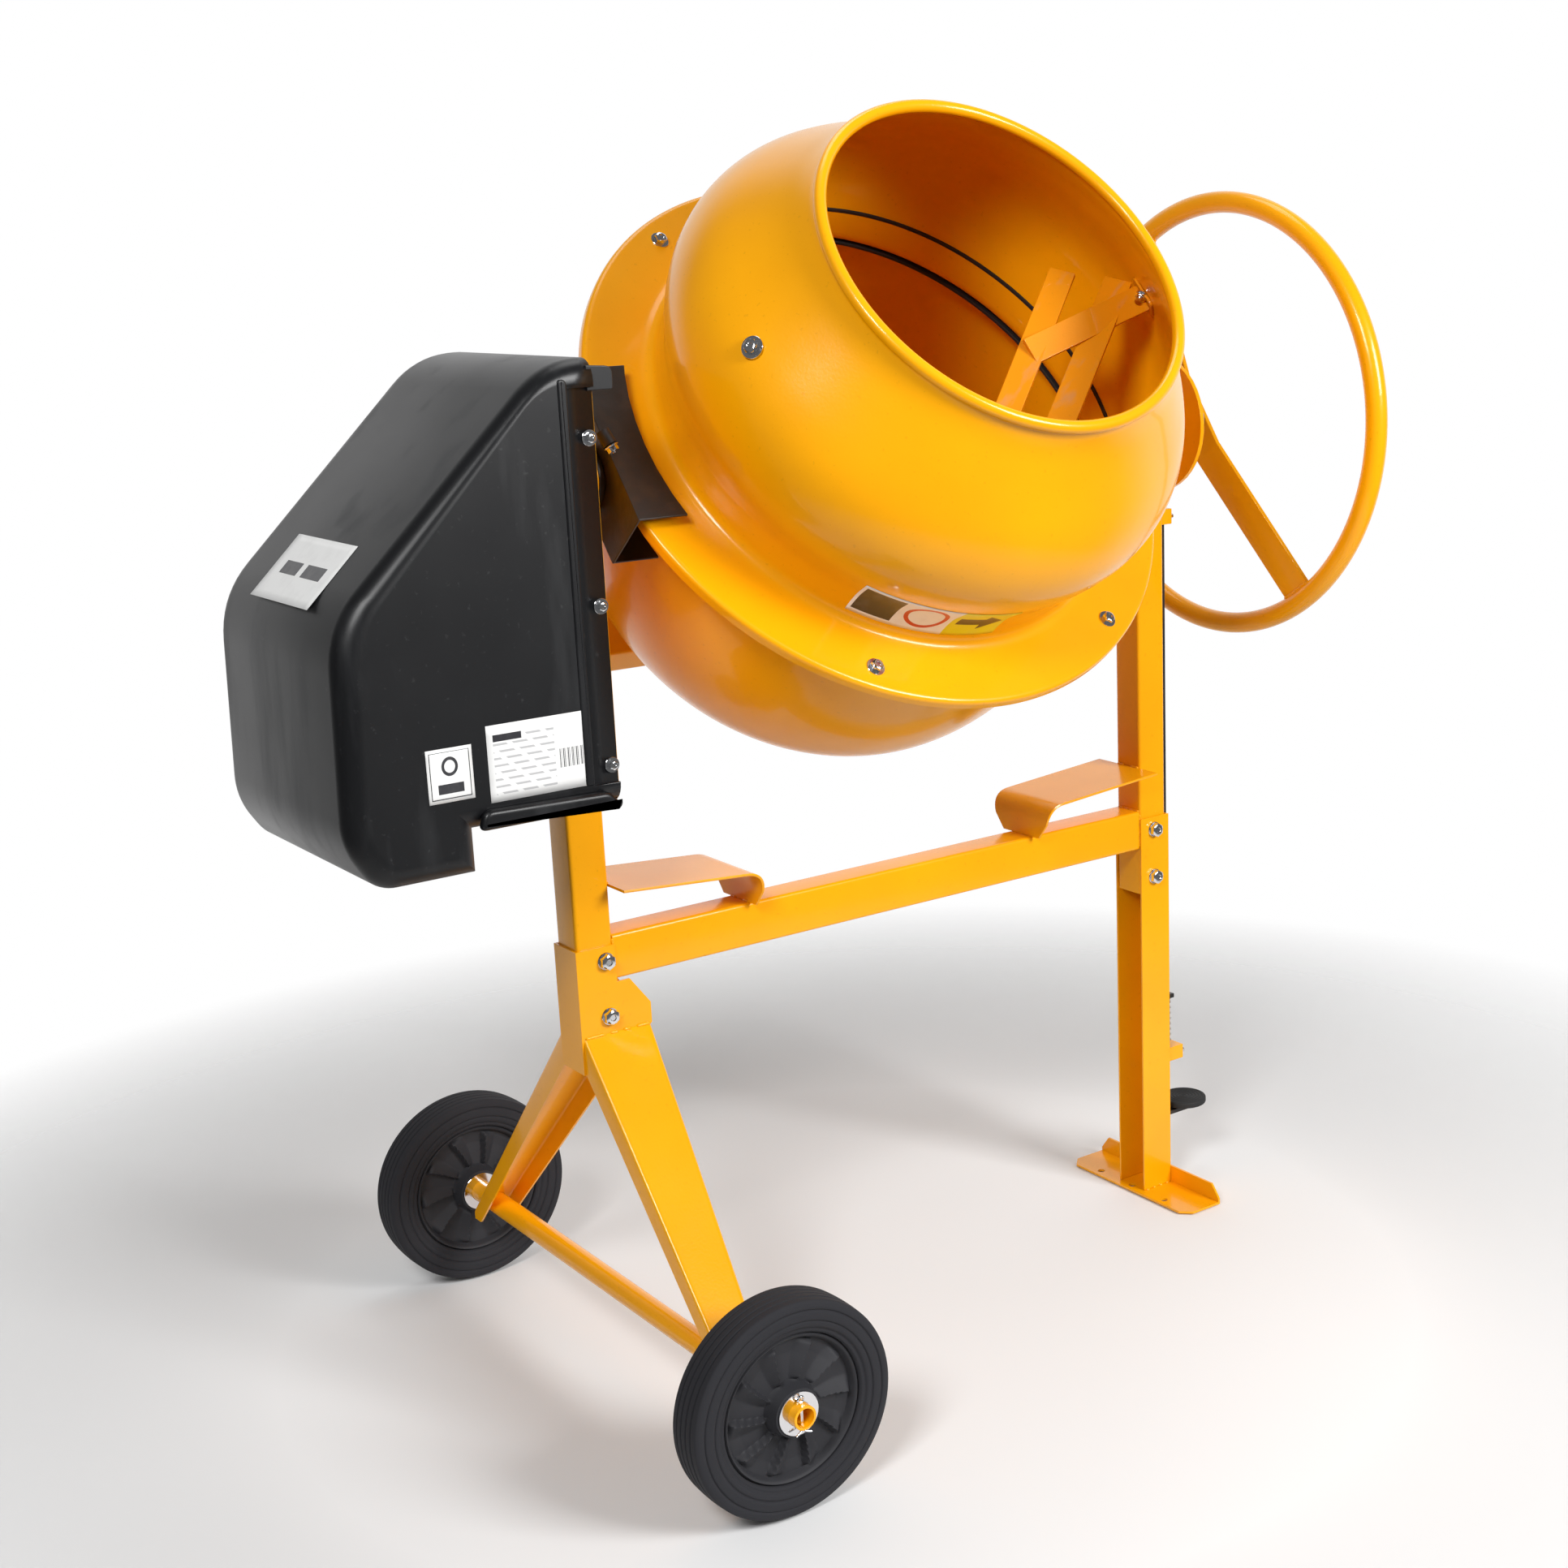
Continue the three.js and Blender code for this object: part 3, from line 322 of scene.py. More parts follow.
@dataclass(frozen=True)
class Rubber(Finish):
    """Black rubber with a dusty bloom."""

    bloom: float = 0.5
    rough: float = 0.5
    specular: float = 0.5

    def make(self, graph: Graph) -> bpy.types.Material:
        """Wires this finish.

        Args:
            graph: The finish's empty graph.

        Returns:
            The graph's material.
        """
        dust = graph.noise(34.0, 6.0).ramp(0.48, 0.8) * self.bloom
        colour = graph.mix(dust * 0.5, self.colour, (0.05, 0.045, 0.04))
        rough = self.rough + graph.noise(55.0, 4.0) * 0.22
        return graph.surface(
            Base_Color=colour, Roughness=rough, Normal=graph.bump(graph.noise(420.0, 3.0), 0.00012),
            Specular_IOR_Level=self.specular,
        )


@dataclass(frozen=True)
class Metal(Finish):
    """Bare or plated metal with patchy roughness; lay stretches the marks along one axis."""

    rough: float = 0.25
    lay: tuple[float, float, float] = (1.0, 1.0, 1.0)
    pits: float = 0.00005

    def make(self, graph: Graph) -> bpy.types.Material:
        """Wires this finish.

        Args:
            graph: The finish's empty graph.

        Returns:
            The graph's material.
        """
        patch = graph.noise(90.0, 4.0, self.lay)
        colour = graph.mix(patch.ramp(0.4, 0.75) * 0.5, self.colour, tuple(c * 0.62 for c in self.colour))
        rough = self.rough + patch * 0.22
        fine = graph.noise(700.0, 3.0, self.lay)
        return graph.surface(
            Base_Color=colour, Roughness=rough, Metallic=1.0, Normal=graph.bump(fine, self.pits),
        )


@dataclass(frozen=True)
class Enamel(Finish):
    """Smooth coloured moulding or enamel with a slight mottle."""

    rough: float = 0.35

    def make(self, graph: Graph) -> bpy.types.Material:
        """Wires this finish.

        Args:
            graph: The finish's empty graph.

        Returns:
            The graph's material.
        """
        mottle = graph.noise(120.0, 3.0)
        colour = graph.mix(mottle * 0.25, self.colour, tuple(c * 0.6 for c in self.colour))
        return graph.surface(
            Base_Color=colour, Roughness=self.rough + mottle * 0.1,
            Normal=graph.bump(graph.noise(600.0), 0.00004),
        )


class Print(Enum):
    """What a sticker shows: only plain fields, bars and an arrow."""

    PLATE = "plate"
    SQUARE = "square"
    BANNER = "banner"
    TURN = "turn"


@dataclass(frozen=True)
class Sticker(Finish):
    """Vinyl sticker printed with plain shapes, read from the piece's own UV map."""

    pattern: Print = Print.PLATE

    def make(self, graph: Graph) -> bpy.types.Material:
        """Wires this finish.

        Args:
            graph: The finish's empty graph.

        Returns:
            The graph's material.
        """
        uv = graph.node("ShaderNodeUVMap", {"uv_map": "face"}, {})
        u = graph.node("ShaderNodeSeparateXYZ", {}, {"Vector": uv}, 0)
        v = graph.node("ShaderNodeSeparateXYZ", {}, {"Vector": uv}, 1)
        prints = {
            Print.PLATE: self.plate,
            Print.SQUARE: self.square,
            Print.BANNER: self.banner,
            Print.TURN: self.turn,
        }
        colour = prints[self.pattern](graph, u, v)
        soil = graph.noise(60.0, 4.0).ramp(0.5, 0.85) * 0.16
        colour = graph.mix(soil, colour, (0.35, 0.34, 0.33))
        return graph.surface(Base_Color=colour, Roughness=0.34 + graph.noise(80.0) * 0.1, Coat_Weight=0.2)

    @staticmethod
    def window(u: Value, v: Value, low: tuple[float, float], high: tuple[float, float]) -> Value:
        """Returns 1 inside the rectangle from low to high, else 0."""
        return u.above(low[0]) * u.below(high[0]) * v.above(low[1]) * v.below(high[1])

    def plate(self, graph: Graph, u: Value, v: Value) -> Value:
        """Draws a data plate: rows of short grey dashes and a block of upright bars.

        Args:
            graph: The sticker's graph.
            u: Position across the sticker, 0 to 1.
            v: Position up the sticker, 0 to 1.

        Returns:
            The print's colour.
        """
        dashes = (v * 11.0).repeated(1.0).below(0.3) * (u * 5.0 + v * 3.7).repeated(1.0).below(0.72)
        rows = dashes * self.window(u, v, (0.06, 0.06), (0.66, 0.9))
        stripes = ((u * 61.0).repeated(1.0) + (u * 23.0).repeated(1.0)).below(0.85)
        block = stripes * self.window(u, v, (0.7, 0.3), (0.94, 0.55))
        heading = self.window(u, v, (0.06, 0.78), (0.34, 0.87))
        colour = graph.mix(rows * 0.55, self.colour, (0.2, 0.2, 0.22))
        return graph.mix((block + heading).at_most(1.0), colour, (0.02, 0.02, 0.025))

    def square(self, graph: Graph, u: Value, v: Value) -> Value:
        """Draws a framed square with a plain ring and a bar.

        Args:
            graph: The sticker's graph.
            u: Position across the sticker, 0 to 1.
            v: Position up the sticker, 0 to 1.

        Returns:
            The print's colour.
        """
        away = (u - 0.5).power(2.0) + (v - 0.66).power(2.0)
        ring = away.below(0.032) * away.above(0.014)
        bar = self.window(u, v, (0.22, 0.16), (0.78, 0.34))
        margin = 1.0 - self.window(u, v, (0.06, 0.06), (0.94, 0.94))
        field_inside = self.window(u, v, (0.08, 0.08), (0.92, 0.92))
        colour = graph.mix(1.0 - (margin + field_inside), self.colour, (0.03, 0.03, 0.03))
        return graph.mix(ring + bar, colour, (0.03, 0.03, 0.035))

    def banner(self, graph: Graph, u: Value, v: Value) -> Value:
        """Returns a white field with two plain dark bars."""
        bars = self.window(u, v, (0.16, 0.4), (0.44, 0.6)) + self.window(u, v, (0.52, 0.4), (0.84, 0.6))
        return graph.mix(bars, self.colour, (0.03, 0.03, 0.035))

    def turn(self, graph: Graph, u: Value, v: Value) -> Value:
        """Draws three fields: a dark one, a ring on white, and a black arrow on yellow.

        Args:
            graph: The sticker's graph.
            u: Position across the sticker, 0 to 1.
            v: Position up the sticker, 0 to 1.

        Returns:
            The print's colour.
        """
        rise = abs(v - 0.5)
        shaft = rise.below(0.13) * u.above(0.66) * u.below(0.83)
        head = rise.below((0.97 - u) * 2.1) * u.above(0.83)
        colour = graph.mix(u.above(0.62), self.colour, (0.75, 0.68, 0.01))
        colour = graph.mix(shaft + head, colour, (0.012, 0.012, 0.012))
        colour = graph.mix(self.window(u, v, (0.02, 0.1), (0.27, 0.9)), colour, (0.03, 0.03, 0.032))
        away = ((u - 0.45) * 2.85).power(2.0) + (v - 0.5).power(2.0)
        return graph.mix(away.below(0.15) * away.above(0.095), colour, (0.55, 0.02, 0.02))


YELLOW = PowderCoat("yellow_coat", "yellow_paint", (0.93, 0.4, 0.0015))
# Darker, more orange copy of the yellow coat for the blades and lugs inside the drum: the base colour is
# painted shade, and the scuff marks are real wear.
YELLOW_INSIDE_SHADE_PAINTED = PowderCoat("yellow_coat_scuffed_painted_shade", "yellow_paint", (0.8, 0.29, 0.003), gloss=0.3, scuffs=1.0)
BLACK_STEEL = BlackPaint("black_enamel", "black_steel", (0.012, 0.01, 0.009))
COVER_PLASTIC = MouldedPlastic("housing_plastic", "black_plastic", (0.0055, 0.0058, 0.0068), rough=0.3)
WHEEL_PLASTIC = MouldedPlastic(
    "wheel_plastic", "wheel_plastic", (0.003, 0.0032, 0.0036), rough=0.2, marks=0.15, specular=0.2,
)
TYRE = Rubber("tyre_rubber", "tyre_rubber", (0.003, 0.003, 0.0034), bloom=0.12, rough=0.34, specular=0.22)
BLACK_RUBBER = Rubber("black_rubber", "black_rubber", (0.012, 0.012, 0.012), bloom=0.2, rough=0.55)
ZINC = Metal("zinc_plate", "zinc_plate", (0.6, 0.61, 0.62), rough=0.27)
STEEL = Metal("machined_steel", "bright_steel", (0.55, 0.56, 0.58), rough=0.24, lay=(0.15, 1.0, 1.0))
IRON = Metal("cast_iron", "cast_iron", (0.16, 0.16, 0.165), rough=0.45, pits=0.0003)
MOTOR_GREY = Enamel("motor_enamel", "motor_grey", (0.17, 0.19, 0.21), rough=0.42)
GREEN = Enamel("green_key", "green_plastic", (0.02, 0.32, 0.05), rough=0.25)
RED = Enamel("red_key", "red_plastic", (0.62, 0.012, 0.012), rough=0.25)
WHITE_VINYL: Colour = (0.8, 0.8, 0.79)


# ---------------------------------------------------------------- places and shapes
@dataclass(frozen=True)
class Place:
    """A local frame: its origin in millimetres and its three axes as rows."""

    origin: tuple[float, float, float]
    axes: Points = field(default_factory=lambda: np.eye(3))

    def put(self, points: Points) -> Points:
        """Returns local millimetre points as metres in the machine's frame."""
        return (np.asarray(self.origin) + points @ self.axes) * MM

    def at(self, offset: Sequence[float], towards: Sequence[float]) -> "Place":
        """Makes a second frame inside this one.

        Args:
            offset: Its origin, in this frame.
            towards: The direction of its z axis, in this frame.

        Returns:
            The frame; its x and y axes are square to z and to the axis that z is least like.
        """
        axis = np.asarray(towards, float) @ self.axes
        axis = axis / np.linalg.norm(axis)
        guide = np.array([1.0, 0.0, 0.0]) if abs(axis[0]) < 0.8 else np.array([0.0, 1.0, 0.0])
        side = np.cross(guide, axis)
        side = side / np.linalg.norm(side)
        origin = np.asarray(self.origin) + np.asarray(offset, float) @ self.axes
        return Place(tuple(origin), np.array([np.cross(side, axis), side, axis]))


@dataclass
class Shape:
    """Points in millimetres and the faces between them."""

    points: Points
    faces: list[list[int]]
    uv: Points | None = None

    def __add__(self, other: "Shape") -> "Shape":
        """Returns both shapes as one."""
        moved = [[i + len(self.points) for i in face] for face in other.faces]
        return Shape(np.vstack([self.points, other.points]), self.faces + moved)

    def shifted(self, offset: Sequence[float]) -> "Shape":
        """Returns the shape moved by offset."""
        return Shape(self.points + np.asarray(offset, float), self.faces, self.uv)

    def laid(self, place: Place) -> "Shape":
        """Returns the shape, drawn in place's frame, in machine millimetres."""
        return Shape(place.put(self.points) / MM, self.faces, self.uv)


def smooth_line(points: Sequence[Sequence[float]], per_span: int = 8) -> Points:
    """Draws a Catmull-Rom line: each span is a cubic whose end slopes are half the chord across that end.

    Args:
        points: The points that the line passes through.
        per_span: Steps from one point to the next.

    Returns:
        The line's points.
    """
    knots = np.asarray(points, float)
    padded = np.vstack([2 * knots[0] - knots[1], knots, 2 * knots[-1] - knots[-2]])
    t = np.linspace(0, 1, per_span, endpoint=False)[:, None, None]
    a, b, c, d = padded[:-3], padded[1:-2], padded[2:-1], padded[3:]
    line = 0.5 * (2 * b + (c - a) * t + (2 * a - 5 * b + 4 * c - d) * t**2 + (3 * b - a - 3 * c + d) * t**3)
    return np.vstack([line.transpose(1, 0, 2).reshape(-1, knots.shape[1]), knots[-1:]])


def rounded(points: Sequence[Sequence[float]], radii: float | Sequence[float], steps: int = 5,
            closed: bool = True) -> Points:
    """Rounds a polygon: each corner becomes a quadratic curve that leaves the sides at its radius.

    Args:
        points: The corners in order.
        radii: One radius, or one for each corner; 0 keeps the corner.
        steps: Spans in each corner's curve.
        closed: Whether the last corner joins the first.

    Returns:
        The rounded outline's points.
    """
    corners = np.asarray(points, float)
    sizes = np.broadcast_to(np.asarray(radii, float), len(corners))
    t = np.linspace(0, 1, steps + 1)[:, None]
    parts = []
    for i, (corner, size) in enumerate(zip(corners, sizes)):
        ends = not closed and i in (0, len(corners) - 1)
        if size == 0 or ends:
            parts.append(corner[None])
            continue
        before = corners[i - 1] - corner
        after = corners[(i + 1) % len(corners)] - corner
        start = corner + before * size / np.linalg.norm(before)
        end = corner + after * size / np.linalg.norm(after)
        parts.append((1 - t) ** 2 * start + 2 * t * (1 - t) * corner + t**2 * end)
    return np.vstack(parts)


def arc(centre: Sequence[float], radius: float, start: float, end: float, steps: int = 12) -> Points:
    """Returns points on a circle from start to end degrees."""
    angle = np.radians(np.linspace(start, end, steps + 1))
    return np.asarray(centre, float) + radius * np.stack([np.cos(angle), np.sin(angle)], 1)


def inset(loop: Points, distance: float) -> Points:
    """Moves every side of a closed loop inwards; each corner follows the mitre of its two sides.

    Args:
        loop: The loop's points, either way round.
        distance: How far the sides move.

    Returns:
        The smaller loop, point for point.
    """
    ahead = np.roll(loop, -1, 0) - loop
    area = np.sum(loop[:, 0] * np.roll(loop[:, 1], -1) - loop[:, 1] * np.roll(loop[:, 0], -1))
    normal = np.stack([-ahead[:, 1], ahead[:, 0]], 1) * np.sign(area)
    normal = normal / np.maximum(np.linalg.norm(normal, axis=1, keepdims=True), 1e-9)
    previous = np.roll(normal, 1, 0)
    share = 1 + np.sum(normal * previous, 1, keepdims=True)
    return loop + distance * (normal + previous) / np.maximum(share, 0.3)


def beside(line: Points, distance: float) -> Points:
    """Moves an open line sideways, each point square to its own tangent.

    Args:
        line: The line's points.
        distance: How far it moves, to the left of its direction.

    Returns:
        The moved line.
    """
    along = np.gradient(line, axis=0)
    along = along / np.linalg.norm(along, axis=1, keepdims=True)
    return line + distance * np.stack([-along[:, 1], along[:, 0]], 1)


def grid(points: Points, wrap_rows: bool = False, wrap_columns: bool = False, caps: bool = False) -> Shape:
    """Joins an array of points with four-sided faces.

    Args:
        points: Array of rows, columns and 3.
        wrap_rows: Whether the last row joins the first.
        wrap_columns: Whether the last column joins the first.
        caps: Whether the first and last rows are closed with one flat face each.

    Returns:
        The surface.
    """
    rows, columns = points.shape[:2]
    row = np.arange(rows if wrap_rows else rows - 1)[:, None]
    column = np.arange(columns if wrap_columns else columns - 1)[None, :]
    below, right = (row + 1) % rows, (column + 1) % columns
    corners = [
        row * columns + column, row * columns + right,
        below * columns + right, below * columns + column,
    ]
    faces = np.stack(np.broadcast_arrays(*corners), -1).reshape(-1, 4).tolist()
    if caps:
        last = (rows - 1) * columns
        faces += [list(range(columns))[::-1], list(range(last, last + columns))]
    return Shape(points.reshape(-1, 3), faces)


def lathe(profile: Points, sides: int = 64, closed: bool = True) -> Shape:
    """Turns a profile about z: x = r cos a, y = r sin a, z = height.

    Args:
        profile: The profile's [radius, height] points.
        sides: Steps round the axis.
        closed: Whether the profile's last point joins its first.

    Returns:
        The turned surface.
    """
    angle = np.linspace(0, 2 * np.pi, sides, endpoint=False)
    radius, height = np.asarray(profile, float).T[:, :, None]
    points = np.stack([radius * np.cos(angle), radius * np.sin(angle), height + 0 * angle], -1)
    return grid(points, closed, True)


def slab(loop: Points, low: float, high: float, edge: float = 0.6, steps: int = 3) -> Shape:
    """Makes a plate with quarter-round rims: inset = e (1 - sin a), depth = e (1 - cos a).

    Args:
        loop: The plate's outline.
        low: Height of its lower face.
        high: Height of its upper face.
        edge: Radius of the rims.
        steps: Spans in each rim.

    Returns:
        The plate, with one more ring inside each rim so that its faces shade flat.
    """
    angle = np.linspace(0, np.pi / 2, steps + 1)
    rim = list(zip(edge * (1 - np.sin(angle)), edge * (1 - np.cos(angle))))
    flat = edge * 1.4
    rows = [(flat, low)]
    rows += [(inward, low + depth) for inward, depth in rim]
    rows += [(inward, high - depth) for inward, depth in rim[::-1]]
    rows += [(flat, high)]
    rings = [np.insert(inset(loop, inward), 2, z, axis=1) for inward, z in rows]
    return grid(np.array(rings), False, True, caps=True)


def oblong(width: float, height: float, corner: float, steps: int = 5) -> Points:
    """Returns a rectangle centred on 0 with rounded corners."""
    x, y = width / 2, height / 2
    return rounded([(-x, -y), (x, -y), (x, y), (-x, y)], corner, steps)


def frames_along(path: Points, closed: bool) -> tuple[Points, Points]:
    """Carries two side vectors along a path with the least twist: each loses its part along the path.

    Args:
        path: The path's points.
        closed: Whether its last point joins its first.

    Returns:
        Two unit vectors for each point, square to the path and to each other.
    """
    ahead = np.roll(path, -1, 0) - np.roll(path, 1, 0) if closed else np.gradient(path, axis=0)
    ahead = ahead / np.linalg.norm(ahead, axis=1, keepdims=True)
    side = np.cross(ahead[0], [0.0, 0.0, 1.0] if abs(ahead[0][2]) < 0.9 else [1.0, 0.0, 0.0])
    sides = [side / np.linalg.norm(side)]
    for direction in ahead[1:]:
        carried = sides[-1] - direction * np.dot(direction, sides[-1])
        sides.append(carried / np.linalg.norm(carried))
    across = np.array(sides)
    return across, np.cross(ahead, across)


def tube(path: Points, radius: float | Points, sides: int = 16, closed: bool = False) -> Shape:
    """Makes a round tube: each ring is path + r (cos a, sin a) in the path's own side vectors.

    Args:
        path: The points of its centre line.
        radius: One radius, or one for each point.
        sides: Steps round the tube.
        closed: Whether the path's last point joins its first.

    Returns:
        The tube, with flat ends where the path is open.
    """
    across, up = frames_along(path, closed)
    angle = np.linspace(0, 2 * np.pi, sides, endpoint=False)[None, :, None]
    size = np.broadcast_to(np.asarray(radius, float), len(path))[:, None, None]
    points = path[:, None] + size * (np.cos(angle) * across[:, None] + np.sin(angle) * up[:, None])
    return grid(points, closed, True, caps=not closed)


def bead(path: Points, radius: float) -> Shape:
    """Makes a weld bead: a tube whose radius is r (1 + two sines of its length), tapered at both ends.

    Args:
        path: The points of its centre line.
        radius: Its middling radius.

    Returns:
        The bead.
    """
    length = np.concatenate([[0], np.cumsum(np.linalg.norm(np.diff(path, axis=0), axis=1))])
    count = max(int(length[-1] / 1.1), 6)
    steps = np.linspace(0, length[-1], count)
    fine = np.stack([np.interp(steps, length, path[:, k]) for k in range(3)], 1)
    ripple = 1 + 0.16 * np.sin(steps * 1.9) + 0.1 * np.sin(steps * 0.61 + 1.3)
    taper = np.clip(np.minimum(steps, length[-1] - steps) / 3.0 + 0.35, 0, 1)
    return tube(fine, radius * ripple * taper, 10)


def hollow_tube(width: float, height: float, low: float, high: float, wall: float, corner: float) -> Shape:
    """Carries a hollow oblong section along z.

    Args:
        width: The section's outer size in x.
        height: The section's outer size in y.
        low: Where the tube starts.
        high: Where it ends.
        wall: Thickness of its wall.
        corner: Radius of the outer corners.

    Returns:
        The tube, open at both ends.
    """
    outer = oblong(width, height, corner)
    inner = oblong(width - 2 * wall, height - 2 * wall, max(corner - wall, 0.8))
    rim = 0.5
    rows = [
        (inset(outer, rim), low), (outer, low + rim), (outer, high - rim), (inset(outer, rim), high),
        (inner, high), (inner, low),
    ]
    return grid(np.array([np.column_stack([loop, np.full(len(loop), z)]) for loop, z in rows]), True, True)


def patch(points: Points) -> Shape:
    """Makes a single sheet with a UV map: u runs 0 to 1 along each row, v from the first row to the last.

    Args:
        points: Array of rows, columns and 3.

    Returns:
        The sheet.
    """
    rows, columns = points.shape[:2]
    v, u = np.meshgrid(np.linspace(0, 1, rows), np.linspace(0, 1, columns), indexing="ij")
    shape = grid(points)
    shape.uv = np.stack([u, v], -1).reshape(-1, 2)
    return shape


def hex_head(across: float, height: float, flange: float = 0.0) -> Shape:
    """Makes a bolt head about z: hexagon sides that blend into a round crown with a shallow dimple.

    The radius at an angle is the hexagon's, across / 2 / cos(angle from the flat's middle), mixed with a
    circle.

    Args:
        across: Width over the flats.
        height: Height of the head.
        flange: Radius of the washer face under it, or 0.

    Returns:
        The head, standing on z = 0.
    """
    angle = np.linspace(0, 2 * np.pi, 36, endpoint=False)
    flat = (angle + np.pi / 6) % (np.pi / 3) - np.pi / 6
    hexagon = across / 2 / np.cos(flat)
    circle = np.full_like(angle, across / 2)
    rows = []
    base = 0.0
    if flange:
        base = 1.3
        for radius, z in ((flange - 0.4, 0.0), (flange, 0.5), (flange - 0.5, 1.3)):
            rows.append((np.full_like(angle, radius), z))
    rows += [
        (hexagon, base), (hexagon, base + height * 0.72),
        (0.5 * hexagon + 0.5 * circle, base + height * 0.84),
        (circle * 0.9, base + height * 0.94), (circle * 0.7, base + height), (circle * 0.45, base + height),
        (circle * 0.36, base + height * 0.86),
    ]
    points = [np.stack([r * np.cos(angle), r * np.sin(angle), np.full_like(angle, z)], 1) for r, z in rows]
    return grid(np.array(points), False, True, caps=True)


def washer(bore: float, radius: float, thick: float) -> Shape:
    """Turns a flat washer about z, standing on z = 0.

    Args:
        bore: Radius of its hole.
        radius: Its outer radius.
        thick: Its thickness.

    Returns:
        The washer.
    """
    rim = 0.25
    profile = [
        (bore, 0), (radius - rim, 0), (radius, rim),
        (radius, thick - rim), (radius - rim, thick), (bore, thick),
    ]
    return lathe(np.array(profile), 48)


def joined(shapes: Sequence[Shape]) -> Shape:
    """Returns several shapes as one."""
    return sum(shapes[1:], shapes[0])


# ---------------------------------------------------------------- pieces
def finish_mesh(name: str, shape: Shape, soft: float) -> bpy.types.Mesh:
    """Makes a mesh in metres: doubles merged, faces turned outwards, smooth with crisp folds.

    Args:
        name: The mesh's name.
        shape: Its surface, in machine millimetres.
        soft: Fold angle above which an edge stays crisp.

    Returns:
        The mesh; a sheet with a UV map keeps its points and its facing.
    """
    mesh = bpy.data.meshes.new(name)
    mesh.from_pydata((shape.points * MM).tolist(), [], shape.faces)
    if shape.uv is not None:
        layer = mesh.uv_layers.new(name="face")
        corners = np.array([loop.vertex_index for loop in mesh.loops])
        layer.data.foreach_set("uv", shape.uv[corners].ravel())
    else:
        work = bmesh.new()
        work.from_mesh(mesh)
        bmesh.ops.remove_doubles(work, verts=work.verts, dist=2e-6)
        bmesh.ops.dissolve_degenerate(work, edges=work.edges, dist=1e-6)
        bmesh.ops.recalc_face_normals(work, faces=work.faces)
        work.to_mesh(mesh)
        work.free()
    mesh.polygons.foreach_set("use_smooth", [True] * len(mesh.polygons))
    mesh.set_sharp_from_angle(angle=soft)
    mesh.update()
    return mesh


def piece(name: str, body: str, finish: Finish, shape: Shape, replaces: Sequence[str] = (),
          soft: float = SHARP) -> bpy.types.Object:
    """Adds one finished piece.

    Args:
        name: The piece's name.
        body: The body that it rides on.
        finish: Its finish.
        shape: Its surface, in machine millimetres.
        replaces: CAD nodes that it stands for.
        soft: Fold angle above which an edge stays crisp.

    Returns:
        The piece's object.
    """
    made = bpy.data.objects.new(name, finish_mesh(name, shape, soft))
    bpy.context.scene.collection.objects.link(made)
    made.data.materials.append(finish.material())
    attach(made, body)
    if replaces:
        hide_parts(*replaces)
    log.info("%s: %d faces on %s", name, len(made.data.polygons), body)
    return made


def sticker(name: str, body: str, finish: Sticker, sheet: Shape) -> None:
    """Adds a sticker: a sheet thickened towards the surface that it lies on.

    Args:
        name: The sticker's name.
        body: The body that it rides on.
        finish: Its print.
        sheet: Its outer face, in machine millimetres.
    """
    backing = piece(name, body, finish, sheet).modifiers.new("backing", "SOLIDIFY")
    backing.thickness = STICKER_THICK * MM
    backing.offset = -1.0


def softened(node: str, finish: Finish, width: float = 0.8, segments: int = 2) -> bpy.types.Object:
    """Adds a merged copy of a CAD node with its edges rounded, and hides the node.

    Args:
        node: The CAD node that the copy stands for.
        finish: Its finish.
        width: Width of the rounding in millimetres, or 0 for none.
        segments: Spans in the rounding.

    Returns:
        The copy's object.
    """
    source = frame["nodes"][node]
    mesh = source.data.copy()
    work = bmesh.new()
    work.from_mesh(mesh)
    bmesh.ops.remove_doubles(work, verts=work.verts, dist=1e-5)
    bmesh.ops.dissolve_limit(work, angle_limit=math.radians(0.6), verts=work.verts, edges=work.edges)
    work.to_mesh(mesh)
    work.free()
    made = bpy.data.objects.new(f"{node}_finished", mesh)
    bpy.context.scene.collection.objects.link(made)
    mesh.materials.clear()
    mesh.materials.append(finish.material())
    mesh.polygons.foreach_set("use_smooth", [True] * len(mesh.polygons))
    mesh.set_sharp_from_angle(angle=SHARP)
    if width:
        rounding = made.modifiers.new("edges", "BEVEL")
        rounding.width = width * MM
        rounding.segments = segments
        rounding.limit_method = "ANGLE"
        rounding.angle_limit = math.radians(28)
        rounding.harden_normals = True
    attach(made, source["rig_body"])
    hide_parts(node)
    return made


def dressed(node: str, finish: Finish) -> None:
    """Gives a CAD node that stays its finish.

    Args:
        node: The CAD node.
        finish: Its finish.
    """
    mesh = frame["nodes"][node].data
    mesh.materials.clear()
    mesh.materials.append(finish.material())
    log.info("%s: kept, %s", node, finish.name)


def middle(node: str) -> Points:
    """Returns the middle of a CAD node's box in millimetres."""
    low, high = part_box(node)
    return (np.array(low) + np.array(high)) / 2 / MM


# ---------------------------------------------------------------- places on this machine
GAP = 0.3  # clearance between neighbouring parts
TILT = math.radians(39.2)  # the drum's axis above the horizontal
POST_X = float(middle("left_post")[0])
POST_SPAN = float(middle("right_post")[0]) - POST_X
TILT_Z = float(middle("pinion_shaft")[2])
DRUM_X = float(middle("drum_bearing")[0])
AXLE_Z = float(middle("axle_tube")[2])
DRUM_AXES = np.array([
    [1.0, 0.0, 0.0],
    [0.0, math.sin(TILT), math.cos(TILT)],
    [0.0, -math.cos(TILT), math.sin(TILT)],
])
STAND = Place((POST_X, 0.0, 0.0))
YOKE = Place((POST_X, 0.0, TILT_Z), DRUM_AXES)
DRUM = Place((DRUM_X, 0.0, TILT_Z), DRUM_AXES)
YOKE_ALONG_X = DRUM_AXES[[1, 2, 0]]  # local (t, s, x) of the yoke
ALONG_X = np.array([[0.0, 1.0, 0.0], [0.0, 0.0, 1.0], [1.0, 0.0, 0.0]])  # local (y, z, x) of the machine
